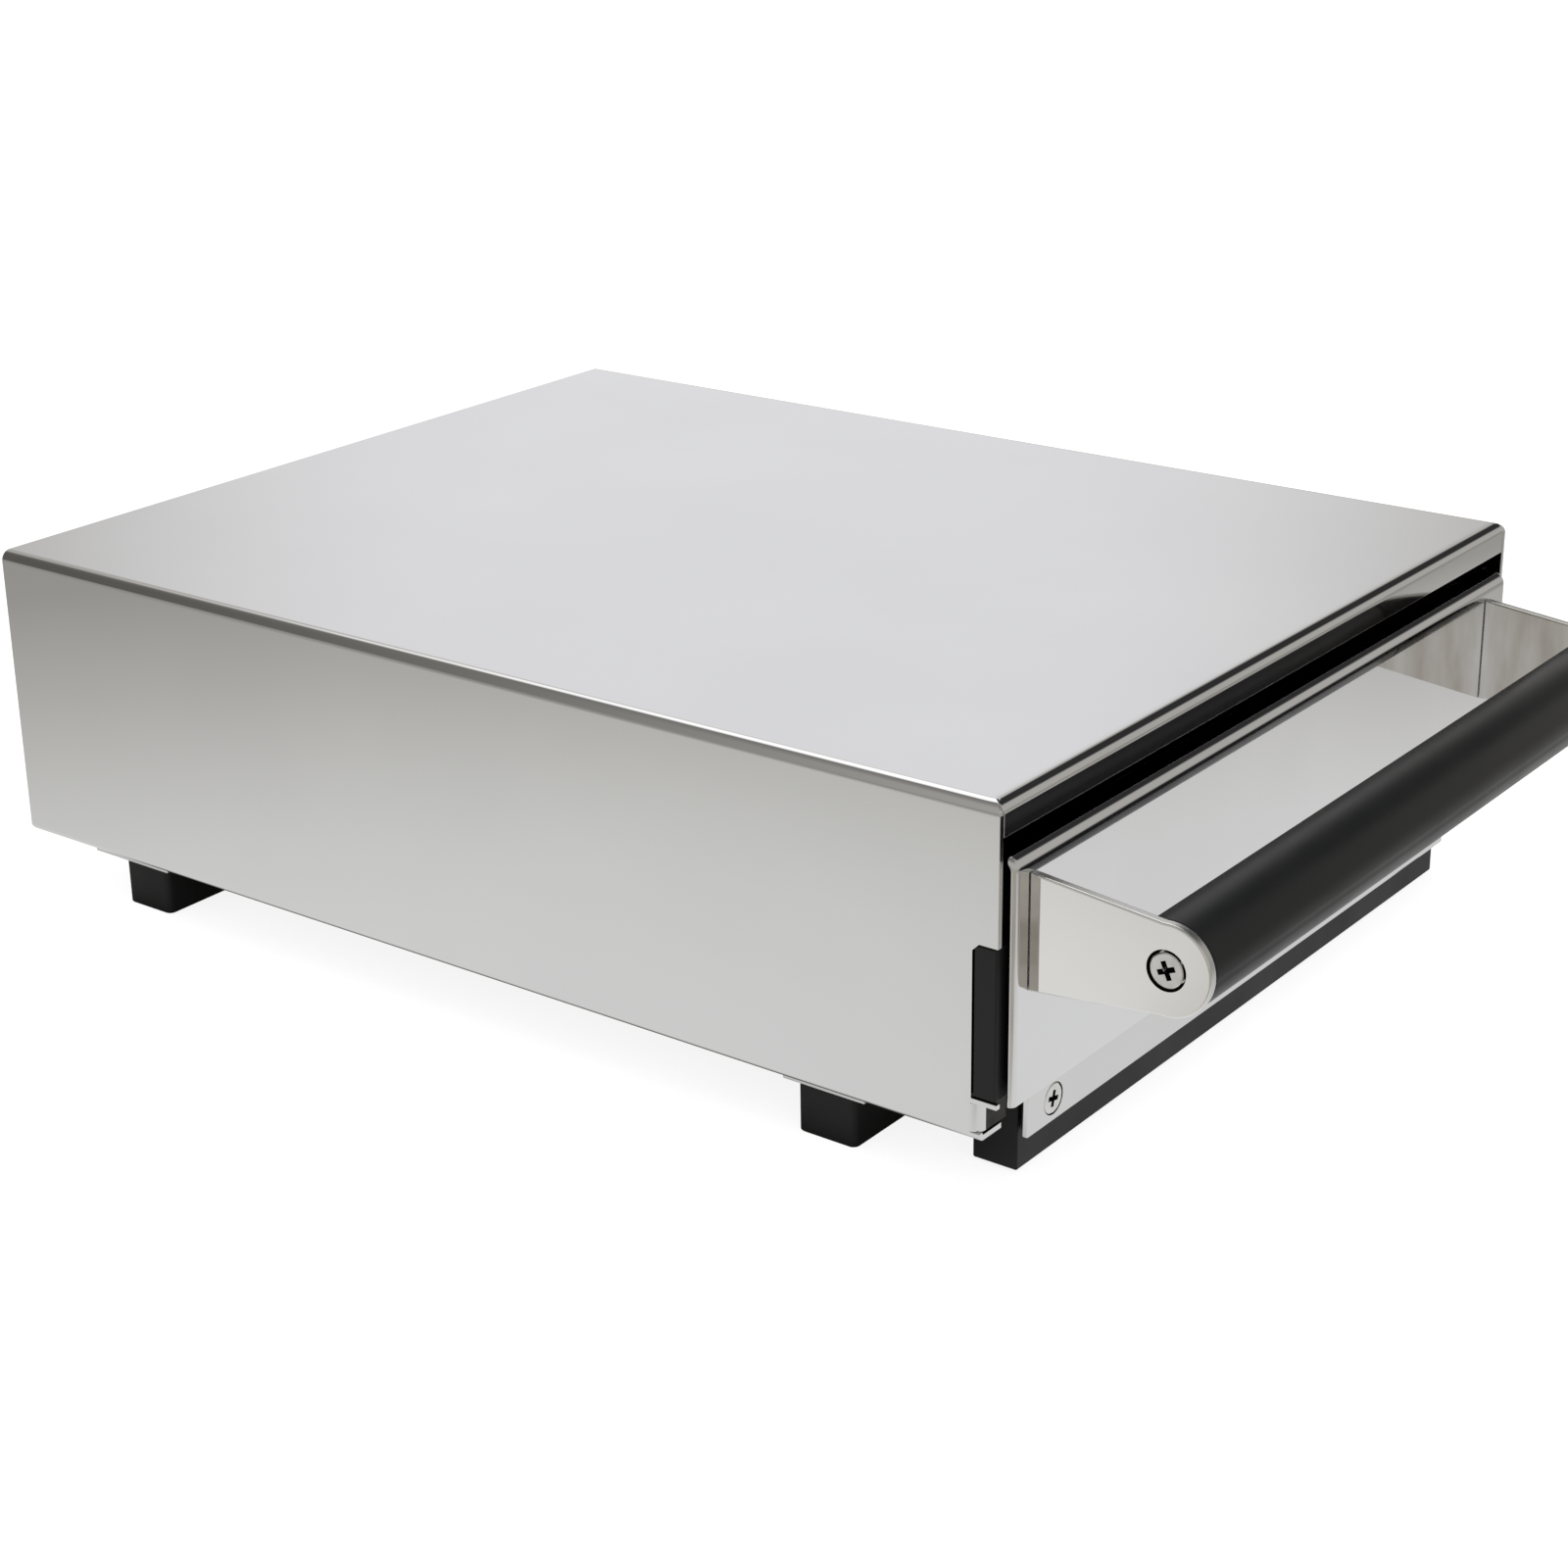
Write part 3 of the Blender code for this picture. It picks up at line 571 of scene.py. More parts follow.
def foldedPiece(name, path, half, finish, body, replaced, facing, edge, roll=0):
    # path is the folded sheet's outer line in the YZ plane; it is carried across X, its ends rolled inwards;
    # facing is 1 for a sheet that faces the rear and -1 for one that faces the front
    path = supported(path)
    shape = startLine([(-half, along, up) for along, up in path])
    stations = [-half + roll * (1 - sin(turn)) for turn in (rollTurns if roll else [0])]
    stations += [stations[-1] + beside] if roll else []
    stations += [-place for place in stations[::-1]]
    last = shape.edges[:]
    for start, end in zip(stations, stations[1:]):
        last = sweepEdges(shape, last, (end - start, 0, 0))
    for number, place in enumerate(path if roll else []):
        before, after = path[max(number - 1, 0)], path[min(number + 1, len(path) - 1)]
        inward = Vector((0, after[1] - before[1], before[0] - after[0])).normalized()
        for vert in [vert for vert in shape.verts if near(vert.co.y, place[0]) and near(vert.co.z, place[1])]:
            out = min(1, max(0, abs(vert.co.x) - half + roll) / roll)
            vert.co += inward * roll * (1 - (1 - out ** 2) ** 0.5)
    bmesh.ops.recalc_face_normals(shape, faces=shape.faces[:])
    broad = max(shape.faces, key=lambda face: face.calc_area())
    if broad.normal.y * facing < 0:
        bmesh.ops.reverse_faces(shape, faces=shape.faces[:])
    piece = addPiece(name, shape, finish, body, replaced)
    thicken(piece, sheet)
    roundEdges(piece, edge, 3)


def makeRearPanel():
    low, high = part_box("rear_panel")
    fold = shellShape["lowFold"]
    steps = shellShape["foldSteps"]
    lower = arc((high.y - fold, low.z + fold), fold, -pi / 2, pi / 2, steps)
    upper = arc((high.y - fold, high.z - fold), fold, 0, pi / 2, steps)
    path = [(low.y, low.z)] + lower + upper + [(low.y, high.z)]
    foldedPiece("rearPanel", path, high.x, satinSteel, "housing", ["rear_panel"], 1,
                shellShape["edge"])


footShape = {
    "corner": 0.002,
    "edge": 0.0006,
    "edgeSteps": 3,
    "boreRadius": 0.0048,
    "boreDepth": 0.006,
    "boreSteps": 32,
    "boreReach": 1.5,
    "strapEnd": 0.0005,
    "steps": 6,
}


def makeFeetAndStraps():
    size = footShape
    for word in ("front", "rear"):
        low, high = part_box(word + "_strap")
        if word == "front":
            high.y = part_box("foot_front_left")[1].y + size["strapEnd"]
        shape = blockShape(low, high)
        softenEdges(shape, shellShape["edge"], 2)
        addPiece(word + "Strap", shape, strapSteel, "housing", [word + "_strap"])
        for side, hand in sides:
            node = "foot_" + word + "_" + hand
            low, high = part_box(node)
            shape = blockShape(low, high)
            upright = [edge for edge in shape.edges if not near(edge.verts[0].co.z, edge.verts[1].co.z)]
            bmesh.ops.bevel(shape, geom=upright, offset=size["corner"], segments=size["steps"], profile=0.5,
                            affect="EDGES", material=-1)
            bore = bmesh.new()
            mouth = Vector(((low.x + high.x) / 2, (low.y + high.y) / 2, low.z))
            bmesh.ops.create_cone(bore, cap_ends=True, segments=size["boreSteps"], radius1=size["boreRadius"],
                                  radius2=size["boreRadius"], depth=2 * size["boreDepth"],
                                  matrix=Matrix.Translation(mouth))
            foot = carved(shape, [bore])
            softenEdges(foot, size["edge"], size["edgeSteps"], [(mouth, size["boreRadius"] * size["boreReach"])])
            tag = word.capitalize() + hand.capitalize()
            addPiece("foot" + tag, foot, blackRubber, "housing", [node])
            dressNode("foot_nut_" + word + "_" + hand, screwSteel)


# Drawer front: panel, board with ears, strip, gasket and plank

frontShape = {
    "panelFold": 0.0035,
    "panelRoll": 0.0016,
    "panelEdge": 0.00025,
    "boardEdge": 0.0005,
    "stripEdge": 0.0003,
    "plankEdge": 0.0005,
    "holeReach": 1.2,
}
boardShape = {
    "half": 0.121,
    "overlap": 0.004,
    "earSetback": 0.0011,
    "earDepth": 0.0001,
    "earLow": 0.0113,
    "earHigh": 0.0497,
}


def makeFrontPanel():
    low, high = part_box("front_panel")
    fold = frontShape["panelFold"]
    bend = arc((low.y + fold, high.z - fold), fold, pi, -pi / 2, shellShape["foldSteps"])
    path = [(low.y, low.z)] + bend + [(high.y, high.z)]
    foldedPiece("frontPanel", path, high.x, mirrorSteel, "drawer", ["front_panel"], -1,
                frontShape["panelEdge"], frontShape["panelRoll"])


def makeFrontBoard():
    low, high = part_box("front_board")
    body = blockShape((-boardShape["half"], low.y, low.z), (boardShape["half"], high.y, high.z))
    softenEdges(body, frontShape["boardEdge"], 3)
    addPiece("frontBoard", body, blackPlastic, "drawer", ["front_board"])
    for side, hand in sides:
        ends = sorted((side * (boardShape["half"] - boardShape["overlap"]), side * high.x))
        earLow = (ends[0], low.y + boardShape["earSetback"], underZ + boardShape["earLow"])
        earHigh = (ends[1], high.y + boardShape["earDepth"], underZ + boardShape["earHigh"])
        ear = blockShape(earLow, earHigh)
        softenEdges(ear, frontShape["boardEdge"], 3)
        addPiece("boardEar" + hand.capitalize(), ear, blackPlastic, "drawer", None)


def makeSkirt():
    low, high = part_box("skirt_strip")
    strip = blockShape(low, high)
    cutters = []
    holes = []
    for side, hand in sides:
        screwLow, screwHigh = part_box("strip_screw_" + hand)
        middle = (screwLow + screwHigh) / 2
        radius = (screwHigh.x - screwLow.x) / 2 + screwShape["ring"]
        mouth = Vector((middle.x, low.y, middle.z))
        cutters.append(sunkCutter(mouth, Vector((0, -1, 0)), radius, screwShape["mouthDepth"]))
        holes.append((mouth, radius * frontShape["holeReach"]))
    strip = carved(strip, cutters)
    for mouth, reach in holes:
        shadeHole(strip, mouth, Vector((0, -1, 0)), reach)
    softenEdges(strip, frontShape["stripEdge"], 2, holes)
    addPiece("skirtStrip", strip, stripSteel, "drawer", ["skirt_strip"], inner=shadedSteel)
    dressNode("skirt_gasket", blackRubber)
    low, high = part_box("plank")
    plank = blockShape(low, high)
    softenEdges(plank, frontShape["plankEdge"], 3)
    addPiece("plank", plank, plankPlastic, "drawer", ["plank"])


# Screws with a cross recess, made from the frame's own sizes

screwShape = {
    "ring": 0.0003,
    "crossTurn": radians(22.5),
    "stripTurn": radians(-13),
    "armHeadShare": 0.9,
    "armShare": 0.56,
    "bladeShare": 0.165,
    "tipShare": 0.85,
    "recessShare": 1.1,
    "mouthDepth": 0.0011,
    "armMouthDepth": 0.0016,
    "runnerCut": 0.0026,
    "coreShare": 0.27,
    "domeShare": 0.10,
    "sunkDepthShare": 0.52,
    "panHeightShare": 0.60,
    "shankShare": 0.48,
    "flatShare": 0.93,
    "rimShare": 0.04,
    "landShare": 0.07,
    "sideShare": 0.96,
    "sideDrops": (0.4, 0.55),
    "domeTurn": pi / 16,
    "domeSteps": 6,
    "liftShare": 0.2,
    "footShare": 0.7,
    "coreTipShare": 0.5,
    "coreSteps": 24,
    "smooth": radians(25),
    "steps": 48,
}


def sunkCutter(place, towards, radius, land):
    # a countersunk way: a straight mouth, then a cone, then the shank's hole
    depth = radius * screwShape["sunkDepthShare"]
    shank = radius * screwShape["shankShare"] + screwShape["ring"]
    profile = [(0, land), (radius, land), (radius, -land), (shank, -land - depth), (shank, -radius * 2),
               (0, -radius * 2)]
    cutter = turnedShape(profile, screwShape["steps"])
    turn = towards.to_track_quat("Z", "Y").to_matrix().to_4x4()
    bmesh.ops.transform(cutter, matrix=Matrix.Translation(place) @ turn, verts=cutter.verts[:])
    return cutter


def crossBlade(arm, blade, depth, lift, turn):
    # one blade of the recess, narrowing towards its foot
    tip = screwShape["tipShare"]
    shape = blockShape((-arm, -blade, -depth), (arm, blade, lift))
    foot = [vert for vert in shape.verts if vert.co.z < 0]
    bmesh.ops.scale(shape, vec=(tip, screwShape["footShare"], 1), verts=foot)
    bmesh.ops.rotate(shape, cent=(0, 0, 0), matrix=Matrix.Rotation(turn, 3, "Z"), verts=shape.verts[:])
    return shape


def makeScrew(node, towards, sunk, body, spin, shorter=0, headShare=1):
    low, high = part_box(node)
    size = screwShape
    towards = Vector(towards)
    across = [high[axis] - low[axis] for axis in range(3) if abs(towards[axis]) < 0.5]
    head = headShare * min(across) / 2
    length = max((high - low)[axis] * abs(towards[axis]) for axis in range(3))
    middle = (low + high) / 2
    top = middle + towards * length / 2
    dome = head * size["domeShare"]
    shank = head * size["shankShare"]
    if sunk:
        cone = head * size["sunkDepthShare"]
        crown = [(0, 0), (head * size["flatShare"], 0), (head, -head * size["rimShare"])]
        profile = crown + [(head, -head * size["landShare"]), (shank, -cone), (shank, -length), (0, -length)]
    else:
        deep = head * size["panHeightShare"]
        first, second = size["sideDrops"]
        turns = [step * size["domeTurn"] for step in range(size["domeSteps"])]
        crown = [(head * sin(turn), dome * cos(turn) - dome) for turn in turns]
        profile = crown + [(head * size["sideShare"], -deep * first), (head, -deep * second), (head, -deep),
                           (shank, -deep), (shank, -length), (0, -length)]
    profile = [(radius, max(height, shorter - length)) for radius, height in profile]
    shape = turnedShape(profile, size["steps"])
    arm = head * size["armShare"]
    blade = head * size["bladeShare"]
    depth = head * size["recessShare"]
    lift = head * size["liftShare"]
    core = bmesh.new()
    bmesh.ops.create_cone(core, cap_ends=True, segments=size["coreSteps"], radius1=blade * size["coreTipShare"],
                          radius2=head * size["coreShare"], depth=depth + lift,
                          matrix=Matrix.Translation((0, 0, (lift - depth) / 2)))
    cutters = [crossBlade(arm, blade, depth, lift, spin), crossBlade(arm, blade, depth, lift, spin + pi / 2), core]
    shape = carved(shape, cutters)
    shadeHole(shape, Vector(), Vector((0, 0, 1)), arm)
    turn = towards.to_track_quat("Z", "Y").to_matrix().to_4x4()
    bmesh.ops.transform(shape, matrix=Matrix.Translation(top) @ turn, verts=shape.verts[:])
    name = "".join(word.capitalize() for word in node.split("_"))
    addPiece(name[0].lower() + name[1:], shape, screwSteel, body, [node], size["smooth"],
             shadedSteel)


def makeScrews():
    # each screw stops at its own turn
    turn = screwShape["crossTurn"]
    for number, (side, hand) in enumerate(sides):
        makeScrew("handle_screw_" + hand, (side, 0, 0), True, "drawer", turn + number,
                  headShare=screwShape["armHeadShare"])
        makeScrew("strip_screw_" + hand, (0, -1, 0), True, "drawer", screwShape["stripTurn"] - number)
        makeScrew("knock_screw_" + hand, (side, 0, 0), False, "drawer", turn + number)
        makeScrew("plank_screw_" + hand, (0, 0, 1), False, "drawer", turn - number)
        for level in ("low", "high"):
            makeScrew("panel_screw_" + level + "_" + hand, (0, 1, 0), False, "drawer", turn + 2 * number)
        for word in ("front", "rear"):
            makeScrew("foot_screw_" + word + "_" + hand, (0, 0, -1), False, "housing", turn + 3 * number)
        for place in ("1", "2"):
            makeScrew("runner_screw_" + hand + "_" + place, (0, 0, 1), True, "housing", turn * 2 + number,
                      screwShape["runnerCut"])


# Handle: two arms and a round bar with a parting line along its front

handleShape = {
    "armEdge": 0.0005,
    "armEdgeSteps": 4,
    "armSteps": 64,
    "holeReach": 1.3,
    "cutLean": 0.3,
    "barSteps": 96,
    "barEdge": 0.0005,
    "barEdgeSteps": 4,
    "boreShare": 0.57,
    "skinShare": 0.9,
    "seamAngle": radians(188.6),
    "seamDepth": 0.00016,
    "endRadius": 0.0112,
}


def makeArms():
    size = handleShape
    barLow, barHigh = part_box("handle_sleeve")
    barY = (barLow.y + barHigh.y) / 2
    barZ = (barLow.z + barHigh.z) / 2
    for side, hand in sides:
        low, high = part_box("handle_arm_" + hand)
        rootHalf = (high.z - low.z) / 2
        reach = high.y - barY
        span = (reach ** 2 + rootHalf ** 2) ** 0.5
        lean = atan2(rootHalf, reach)
        touch = pi / 2 - lean + asin(size["endRadius"] / span)
        end = arc((barY, barZ), size["endRadius"], touch, 2 * (pi - touch), size["armSteps"])
        outline = [(high.y, low.z), (high.y, high.z)] + end
        shape = plateShape(outline, high.x - low.x)
        toX = Matrix(((0, 0, 1, low.x), (1, 0, 0, 0), (0, 1, 0, 0), (0, 0, 0, 1)))
        bmesh.ops.transform(shape, matrix=toX, verts=shape.verts[:])
        screwLow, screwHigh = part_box("handle_screw_" + hand)
        radius = (screwHigh.z - screwLow.z) / 2 + screwShape["ring"]
        face = Vector((high.x if side > 0 else low.x, barY, barZ))
        outward = Vector((side, 0, 0))
        shape = carved(shape, [sunkCutter(face, outward, radius, screwShape["armMouthDepth"])])
        shadeHole(shape, face, outward, radius)
        softenEdges(shape, size["armEdge"], size["armEdgeSteps"], [(face, radius * size["holeReach"])], high.y)
        shape.normal_update()
        for part in shape.faces:
            if part.material_index == 0 and abs(part.normal.x) < size["cutLean"]:
                part.material_index = 2
        # the far arm takes the darker, brown-mottled copy of the arm steel: a painted reflection
        finish = armSteel if side < 0 else farArmReflectionSteel
        arm = addPiece("handleArm" + hand.capitalize(), shape, finish, "drawer", ["handle_arm_" + hand],
                       inner=shadedSteel)
        arm.data.materials.append(insideSteel)


def makeBar():
    size = handleShape
    low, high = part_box("handle_sleeve")
    radius = (high.z - low.z) / 2
    middle = Vector((0, (low.y + high.y) / 2, (low.z + high.z) / 2))
    edge = size["barEdge"]
    bore = radius * size["boreShare"]
    length = high.x - low.x
    rim = arc((radius - edge, length - edge), edge, pi / 2, -pi / 2, size["barEdgeSteps"])
    foot = arc((radius - edge, edge), edge, 0, -pi / 2, size["barEdgeSteps"])
    shape = turnedShape([(bore, length)] + rim + foot + [(bore, 0), (bore, length)], size["barSteps"])
    bmesh.ops.rotate(shape, cent=(0, 0, 0), matrix=Matrix.Rotation(pi / 2, 3, "Y"), verts=shape.verts[:])
    bmesh.ops.translate(shape, vec=(low.x, middle.y, middle.z), verts=shape.verts[:])
    for turned in (size["seamAngle"], size["seamAngle"] + pi):
        seam = Vector((0, cos(turned), sin(turned)))
        line = []
        for vert in shape.verts:
            spoke = Vector((0, vert.co.y - middle.y, vert.co.z - middle.z))
            if spoke.length > radius * size["skinShare"] and spoke.angle(seam) < pi / size["barSteps"]:
                line.append(vert)
        bmesh.ops.translate(shape, vec=-seam * size["seamDepth"], verts=line)
    addPiece("handleSleeve", shape, blackGrip, "drawer", ["handle_sleeve"])
    dressNode("handle_core", screwSteel)


# Pan with a folded rim, and the knock bar across it

panShape = {"wall": 0.0012, "fold": 0.0025, "rim": 0.005, "steps": 10, "edge": 0.0002}
knockShape = {
    "shoulder": 0.003,
    "ribs": 9,
    "ribWidth": 0.004,
    "ribDepth": 0.0008,
    "rodShare": 0.45,
    "shoulderSteps": 8,
    "steps": 64,
}


def makePan():
    size = panShape
    low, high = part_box("pan")
    half = high.x - size["rim"]
    wallTop = high.z - size["wall"]
    shape = blockShape((-half, low.y, low.z), (half, high.y, wallTop))
    lid = [face for face in shape.faces if near(face.calc_center_median().z, wallTop)]
    bmesh.ops.delete(shape, geom=lid, context="FACES")
    folds = [edge for edge in shape.edges if not edge.is_boundary]
    bmesh.ops.bevel(shape, geom=folds, offset=size["fold"], segments=size["steps"], profile=0.5,
                    affect="EDGES", material=-1)
    for side, _ in sides:
        rim = [edge for edge in shape.edges
               if edge.is_boundary and all(near(vert.co.x, side * half) for vert in edge.verts)]
        sweepEdges(shape, rim, (side * size["rim"], 0, 0))
    bmesh.ops.recalc_face_normals(shape, faces=shape.faces[:])
    pan = addPiece("pan", shape, insideSteel, "drawer", ["pan"])
    walls = thicken(pan, size["wall"], 1)
    walls.solidify_mode = "NON_MANIFOLD"
    walls.nonmanifold_thickness_mode = "CONSTRAINTS"
    roundEdges(pan, size["edge"], 2)


def makeKnockBar():
    size = knockShape
    low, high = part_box("knock_sleeve")
    radius = (high.z - low.z) / 2
    length = high.x - low.x
    bore = radius * size["rodShare"]
    shoulder = size["shoulder"]
    steps = size["shoulderSteps"]
    profile = [(bore, length)] + arc((radius - shoulder, length - shoulder), shoulder, pi / 2, -pi / 2, steps)
    pitch = (length - 4 * shoulder) / size["ribs"]
    for number in range(1, size["ribs"]):
        groove = length - 2 * shoulder - number * pitch
        half = size["ribWidth"] / 2
        profile += [(radius, groove + half), (radius - size["ribDepth"], groove + half / 2),
                    (radius - size["ribDepth"], groove - half / 2), (radius, groove - half)]
    profile += arc((radius - shoulder, shoulder), shoulder, 0, -pi / 2, steps) + [(bore, 0), (bore, length)]
    shape = turnedShape(profile, size["steps"])
    bmesh.ops.rotate(shape, cent=(0, 0, 0), matrix=Matrix.Rotation(pi / 2, 3, "Y"), verts=shape.verts[:])
    middle = (low + high) / 2
    bmesh.ops.translate(shape, vec=(low.x, middle.y, middle.z), verts=shape.verts[:])
    addPiece("knockSleeve", shape, blackRubber, "drawer", ["knock_sleeve"])
    dressNode("knock_rod", screwSteel)


def dressSmallParts():
    for side, hand in sides:
        dressNode("runner_" + hand, blackPlastic)
        dressNode("bumper_" + hand, blackRubber)
    dressNode("stop_angle", strapSteel)
    dressNode("stop_catch", strapSteel)


makeHousingShell()
makeRearPanel()
makeFeetAndStraps()
print("housing made")
makeFrontPanel()
makeFrontBoard()
makeSkirt()
print("drawer front made")
makeArms()
makeBar()
makeScrews()
print("handle and screws made")
makePan()
makeKnockBar()
dressSmallParts()
print("pan and knock bar made")


# Studio: a pale floor, a soft world, two soft lamps and the photograph's camera

studio = {
    "floorSize": 14,
    "floorPale": 0.42,
    "floorGlow": 0.86,
    "floorFade": [
        (0.18, (0.86, 0.86, 0.855)),
        (0.25, (0.82, 0.82, 0.805)),
        (0.30, (0.75, 0.745, 0.725)),
        (0.40, (0.58, 0.57, 0.545)),
        (0.52, (0.43, 0.415, 0.39)),
        (0.90, (0.36, 0.345, 0.32)),
    ],
    "brownAcross": (-0.15, -0.21),
    "brownAlong": (-0.10, -0.19),
    "brownScale": 26,
    "brownDetail": 3,
    "brownMottle": [(0.3, (0.34, 0.31, 0.26)), (0.7, (0.56, 0.53, 0.47))],
    # dark under the object's footprint in mirrored rays: a painted shadow
    "floorShadowUnder": (0.07, 0.066, 0.06),
    "shadowAcross": (0.142, 0.122),
    "shadowMiddle": 0.0245,
    "shadowAlong": (0.162, 0.13),
    "room": (0.52, 0.505, 0.475),
    "roomCorner": (0.13, 0.122, 0.11),
    "cornerAcross": (0.25, -0.05),
    "cornerAlong": (0.42, 0.76),
    "ceilingUp": (0.55, 0.95),
    "ceiling": (0.22, 0.215, 0.21),
    "strip": (0.035, 0.035, 0.035),
    "screen": (0.93, 0.93, 0.95),
    "softBox": (1.5, 1.5, 1.48),
    "lobes": [
        ("softBox", (0.42, 0.36, 0.83), 14, 28),
        ("strip", (0.81, -0.06, 0.585), 14, 24),
        ("screen", (0.75, 0.58, 0.31), 4, 17),
    ],
    "worldFill": 0.62,
    "lamps": [
        ("softTop", (-0.3, -0.2, 1.5), 1.2, 4.0),
        ("softFront", (-0.9, -1.2, 0.9), 0.9, 2.0),
    ],
}


def addMath(tree, operation, one, other=None):
    node = tree.nodes.new("ShaderNodeMath")
    node.operation = operation
    for socket, value in zip(node.inputs, (one, other)):
        if value is None:
            continue
        if isinstance(value, (int, float)):
            socket.default_value = value
        else:
            tree.links.new(value, socket)
    return node.outputs["Value"]


def addRamp(tree, value, stops):
    ramp = tree.nodes.new("ShaderNodeValToRGB")
    while len(ramp.color_ramp.elements) < len(stops):
        ramp.color_ramp.elements.new(middleStop)
    for element, (place, colour) in zip(ramp.color_ramp.elements, stops):
        element.position = place
        element.color = (*colour, 1)
    tree.links.new(value, ramp.inputs["Fac"])
    return ramp.outputs["Color"]


def addSmoothStep(tree, value, low, high):
    span = tree.nodes.new("ShaderNodeMapRange")
    span.interpolation_type = "SMOOTHSTEP"
    span.inputs["From Min"].default_value = low
    span.inputs["From Max"].default_value = high
    tree.links.new(value, span.inputs["Value"])
    return span.outputs["Result"]


def addBlend(tree, share, first, second):
    mix = tree.nodes.new("ShaderNodeMix")
    mix.data_type = "RGBA"
    for socket, value in (("A", first), ("B", second)):
        if isinstance(value, tuple):
            mix.inputs[socket].default_value = (*value, 1)
        else:
            tree.links.new(value, mix.inputs[socket])
    tree.links.new(share, mix.inputs["Factor"])
    return mix.outputs["Result"]


def addLobe(tree, direction, towards, inner, outer):
    # 1 within the inner angle of one direction, 0 beyond the outer angle
    dot = tree.nodes.new("ShaderNodeVectorMath")
    dot.operation = "DOT_PRODUCT"
    tree.links.new(direction, dot.inputs[0])
    dot.inputs[1].default_value = Vector(towards).normalized()
    return addSmoothStep(tree, dot.outputs["Value"], cos(radians(outer)), cos(radians(inner)))


def mirroredRay(tree, path):
    return addMath(tree, "MAXIMUM", path.outputs["Is Glossy Ray"], path.outputs["Is Transmission Ray"])


def makeFloor():
    # seen directly it is white and keeps a soft shadow;
    # in metal it is pale nearby, dimmer far off, brown by the camera and dark under the object, a painted shadow
    shape = bmesh.new()
    bmesh.ops.create_grid(shape, x_segments=1, y_segments=1, size=studio["floorSize"] / 2)
    mesh = bpy.data.meshes.new("floor")
    shape.to_mesh(mesh)
    shape.free()
    floor = bpy.data.objects.new("floor", mesh)
    bpy.context.scene.collection.objects.link(floor)
    finish = bpy.data.materials.new("floorWhite")
    finish.use_nodes = True
    tree = finish.node_tree
    tree.nodes.clear()
    out = tree.nodes.new("ShaderNodeOutputMaterial")
    path = tree.nodes.new("ShaderNodeLightPath")
    plain = tree.nodes.new("ShaderNodeBsdfDiffuse")
    plain.inputs["Color"].default_value = (studio["floorPale"],) * 3 + (1,)
    glow = tree.nodes.new("ShaderNodeEmission")
    tree.links.new(addMath(tree, "MULTIPLY", path.outputs["Is Camera Ray"], studio["floorGlow"]),
                   glow.inputs["Strength"])
    seen = tree.nodes.new("ShaderNodeAddShader")
    tree.links.new(plain.outputs[0], seen.inputs[0])
    tree.links.new(glow.outputs[0], seen.inputs[1])

    place = tree.nodes.new("ShaderNodeTexCoord")
    parts = tree.nodes.new("ShaderNodeSeparateXYZ")
    tree.links.new(place.outputs["Object"], parts.inputs[0])
    away = tree.nodes.new("ShaderNodeVectorMath")
    away.operation = "LENGTH"
    tree.links.new(place.outputs["Object"], away.inputs[0])
    pale = addRamp(tree, away.outputs["Value"], studio["floorFade"])
    left = addSmoothStep(tree, parts.outputs["X"], *studio["brownAcross"])
    before = addSmoothStep(tree, parts.outputs["Y"], *studio["brownAlong"])
    noise = tree.nodes.new("ShaderNodeTexNoise")
    noise.inputs["Scale"].default_value = studio["brownScale"]
    noise.inputs["Detail"].default_value = studio["brownDetail"]
    tree.links.new(place.outputs["Object"], noise.inputs["Vector"])
    mottled = addRamp(tree, noise.outputs["Fac"], studio["brownMottle"])
    seenPale = addBlend(tree, addMath(tree, "MULTIPLY", left, before), pale, mottled)
    # the mirrored floor turns dark under the housing: a painted shadow of the object
    shadowAcrossMask = addSmoothStep(tree, addMath(tree, "ABSOLUTE", parts.outputs["X"]), *studio["shadowAcross"])
    inward = addMath(tree, "SUBTRACT", parts.outputs["Y"], studio["shadowMiddle"])
    shadowAlongMask = addSmoothStep(tree, addMath(tree, "ABSOLUTE", inward), *studio["shadowAlong"])
    under = addMath(tree, "MULTIPLY", shadowAcrossMask, shadowAlongMask)
    mirrored = tree.nodes.new("ShaderNodeEmission")
    tree.links.new(addBlend(tree, under, seenPale, studio["floorShadowUnder"]), mirrored.inputs["Color"])
    final = tree.nodes.new("ShaderNodeMixShader")
    tree.links.new(mirroredRay(tree, path), final.inputs["Fac"])
    tree.links.new(seen.outputs[0], final.inputs[1])
    tree.links.new(mirrored.outputs[0], final.inputs[2])
    tree.links.new(final.outputs[0], out.inputs["Surface"])
    mesh.materials.append(finish)


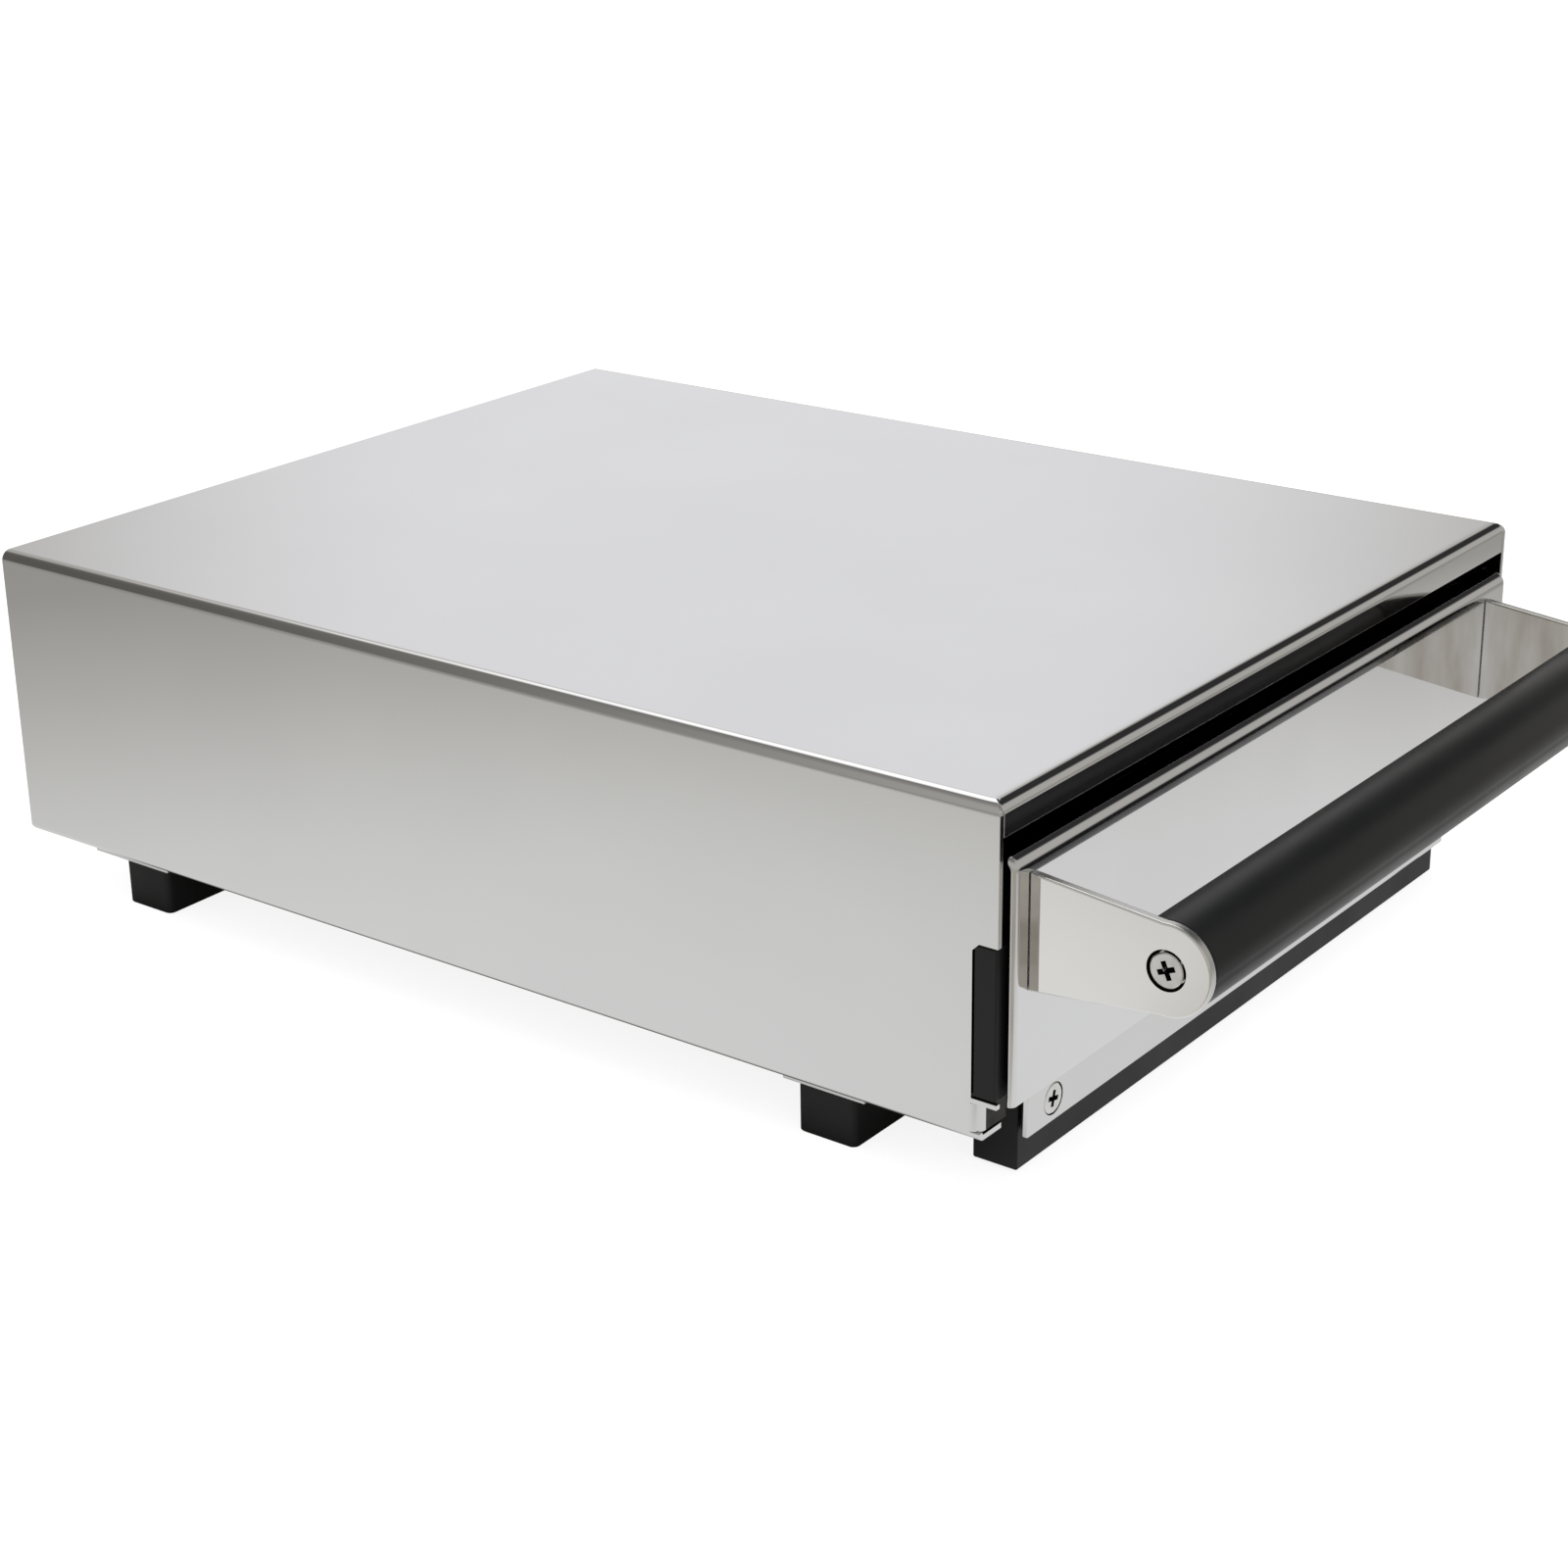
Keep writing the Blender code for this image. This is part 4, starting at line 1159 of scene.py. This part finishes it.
def makeWorld():
    # metal sees a dim room with a dark ceiling, a white screen behind the object and a bright soft box above
    world = bpy.data.worlds.new("studioWorld")
    world.use_nodes = True
    tree = world.node_tree
    tree.nodes.clear()
    out = tree.nodes.new("ShaderNodeOutputWorld")
    path = tree.nodes.new("ShaderNodeLightPath")
    place = tree.nodes.new("ShaderNodeTexCoord")
    direction = place.outputs["Generated"]
    parts = tree.nodes.new("ShaderNodeSeparateXYZ")
    tree.links.new(direction, parts.inputs[0])
    left = addSmoothStep(tree, parts.outputs["X"], *studio["cornerAcross"])
    rear = addSmoothStep(tree, parts.outputs["Y"], *studio["cornerAlong"])
    high = addSmoothStep(tree, parts.outputs["Z"], *studio["ceilingUp"])
    room = addBlend(tree, addMath(tree, "MULTIPLY", left, rear), studio["room"], studio["roomCorner"])
    room = addBlend(tree, high, room, studio["ceiling"])
    for name, towards, inner, outer in studio["lobes"]:
        room = addBlend(tree, addLobe(tree, direction, towards, inner, outer), room, studio[name])
    fill = tree.nodes.new("ShaderNodeBackground")
    fill.inputs["Color"].default_value = (1, 1, 1, 1)
    fill.inputs["Strength"].default_value = studio["worldFill"]
    mirrored = tree.nodes.new("ShaderNodeBackground")
    tree.links.new(room, mirrored.inputs["Color"])
    white = tree.nodes.new("ShaderNodeBackground")
    white.inputs["Color"].default_value = (1, 1, 1, 1)
    first = tree.nodes.new("ShaderNodeMixShader")
    tree.links.new(mirroredRay(tree, path), first.inputs["Fac"])
    tree.links.new(fill.outputs[0], first.inputs[1])
    tree.links.new(mirrored.outputs[0], first.inputs[2])
    last = tree.nodes.new("ShaderNodeMixShader")
    tree.links.new(path.outputs["Is Camera Ray"], last.inputs["Fac"])
    tree.links.new(first.outputs[0], last.inputs[1])
    tree.links.new(white.outputs[0], last.inputs[2])
    tree.links.new(last.outputs[0], out.inputs["Surface"])
    bpy.context.scene.world = world


def makeLamp(name, place, size, power):
    lamp = bpy.data.lights.new(name, "AREA")
    lamp.shape = "SQUARE"
    lamp.size = size
    lamp.energy = power
    holder = bpy.data.objects.new(name, lamp)
    holder.location = place
    holder.rotation_euler = (-Vector(place)).to_track_quat("-Z", "Y").to_euler()
    holder.visible_glossy = False
    holder.visible_camera = False
    bpy.context.scene.collection.objects.link(holder)


cameraShape = {
    "azimuth": radians(52.35),
    "elevation": radians(21.36),
    "roll": radians(-1.02),
    "fromCorner": (-0.64626, -0.33156, 0.33135),  # from the middle of the housing's lower front edge
    "lens": 69.0,
    "sensor": 36,
    "nearest": 0.01,
    "shiftX": 0.0144,
    "shiftY": -0.0044,
}


def makeCamera():
    size = cameraShape
    data = bpy.data.cameras.new("photoCamera")
    data.lens = size["lens"]
    data.sensor_width = size["sensor"]
    data.shift_x = size["shiftX"]
    data.shift_y = size["shiftY"]
    data.clip_start = size["nearest"]
    ahead = Vector((sin(size["azimuth"]) * cos(size["elevation"]), cos(size["azimuth"]) * cos(size["elevation"]),
                    -sin(size["elevation"])))
    right = ahead.cross(Vector((0, 0, 1))).normalized()
    up = right.cross(ahead)
    rolledRight = right * cos(size["roll"]) + up * sin(size["roll"])
    rolledUp = up * cos(size["roll"]) - right * sin(size["roll"])
    turn = Matrix((rolledRight, rolledUp, -ahead)).transposed()
    camera = bpy.data.objects.new("photoCamera", data)
    place = Vector(size["fromCorner"]) + Vector((0, frontY, underZ))
    camera.matrix_world = Matrix.Translation(place) @ turn.to_4x4()
    bpy.context.scene.collection.objects.link(camera)
    bpy.context.scene.camera = camera


makeFloor()
makeWorld()
for lampName, lampPlace, lampSize, lampPower in studio["lamps"]:
    makeLamp(lampName, lampPlace, lampSize, lampPower)
makeCamera()
bpy.context.scene.view_settings.view_transform = "Standard"
print("studio made")
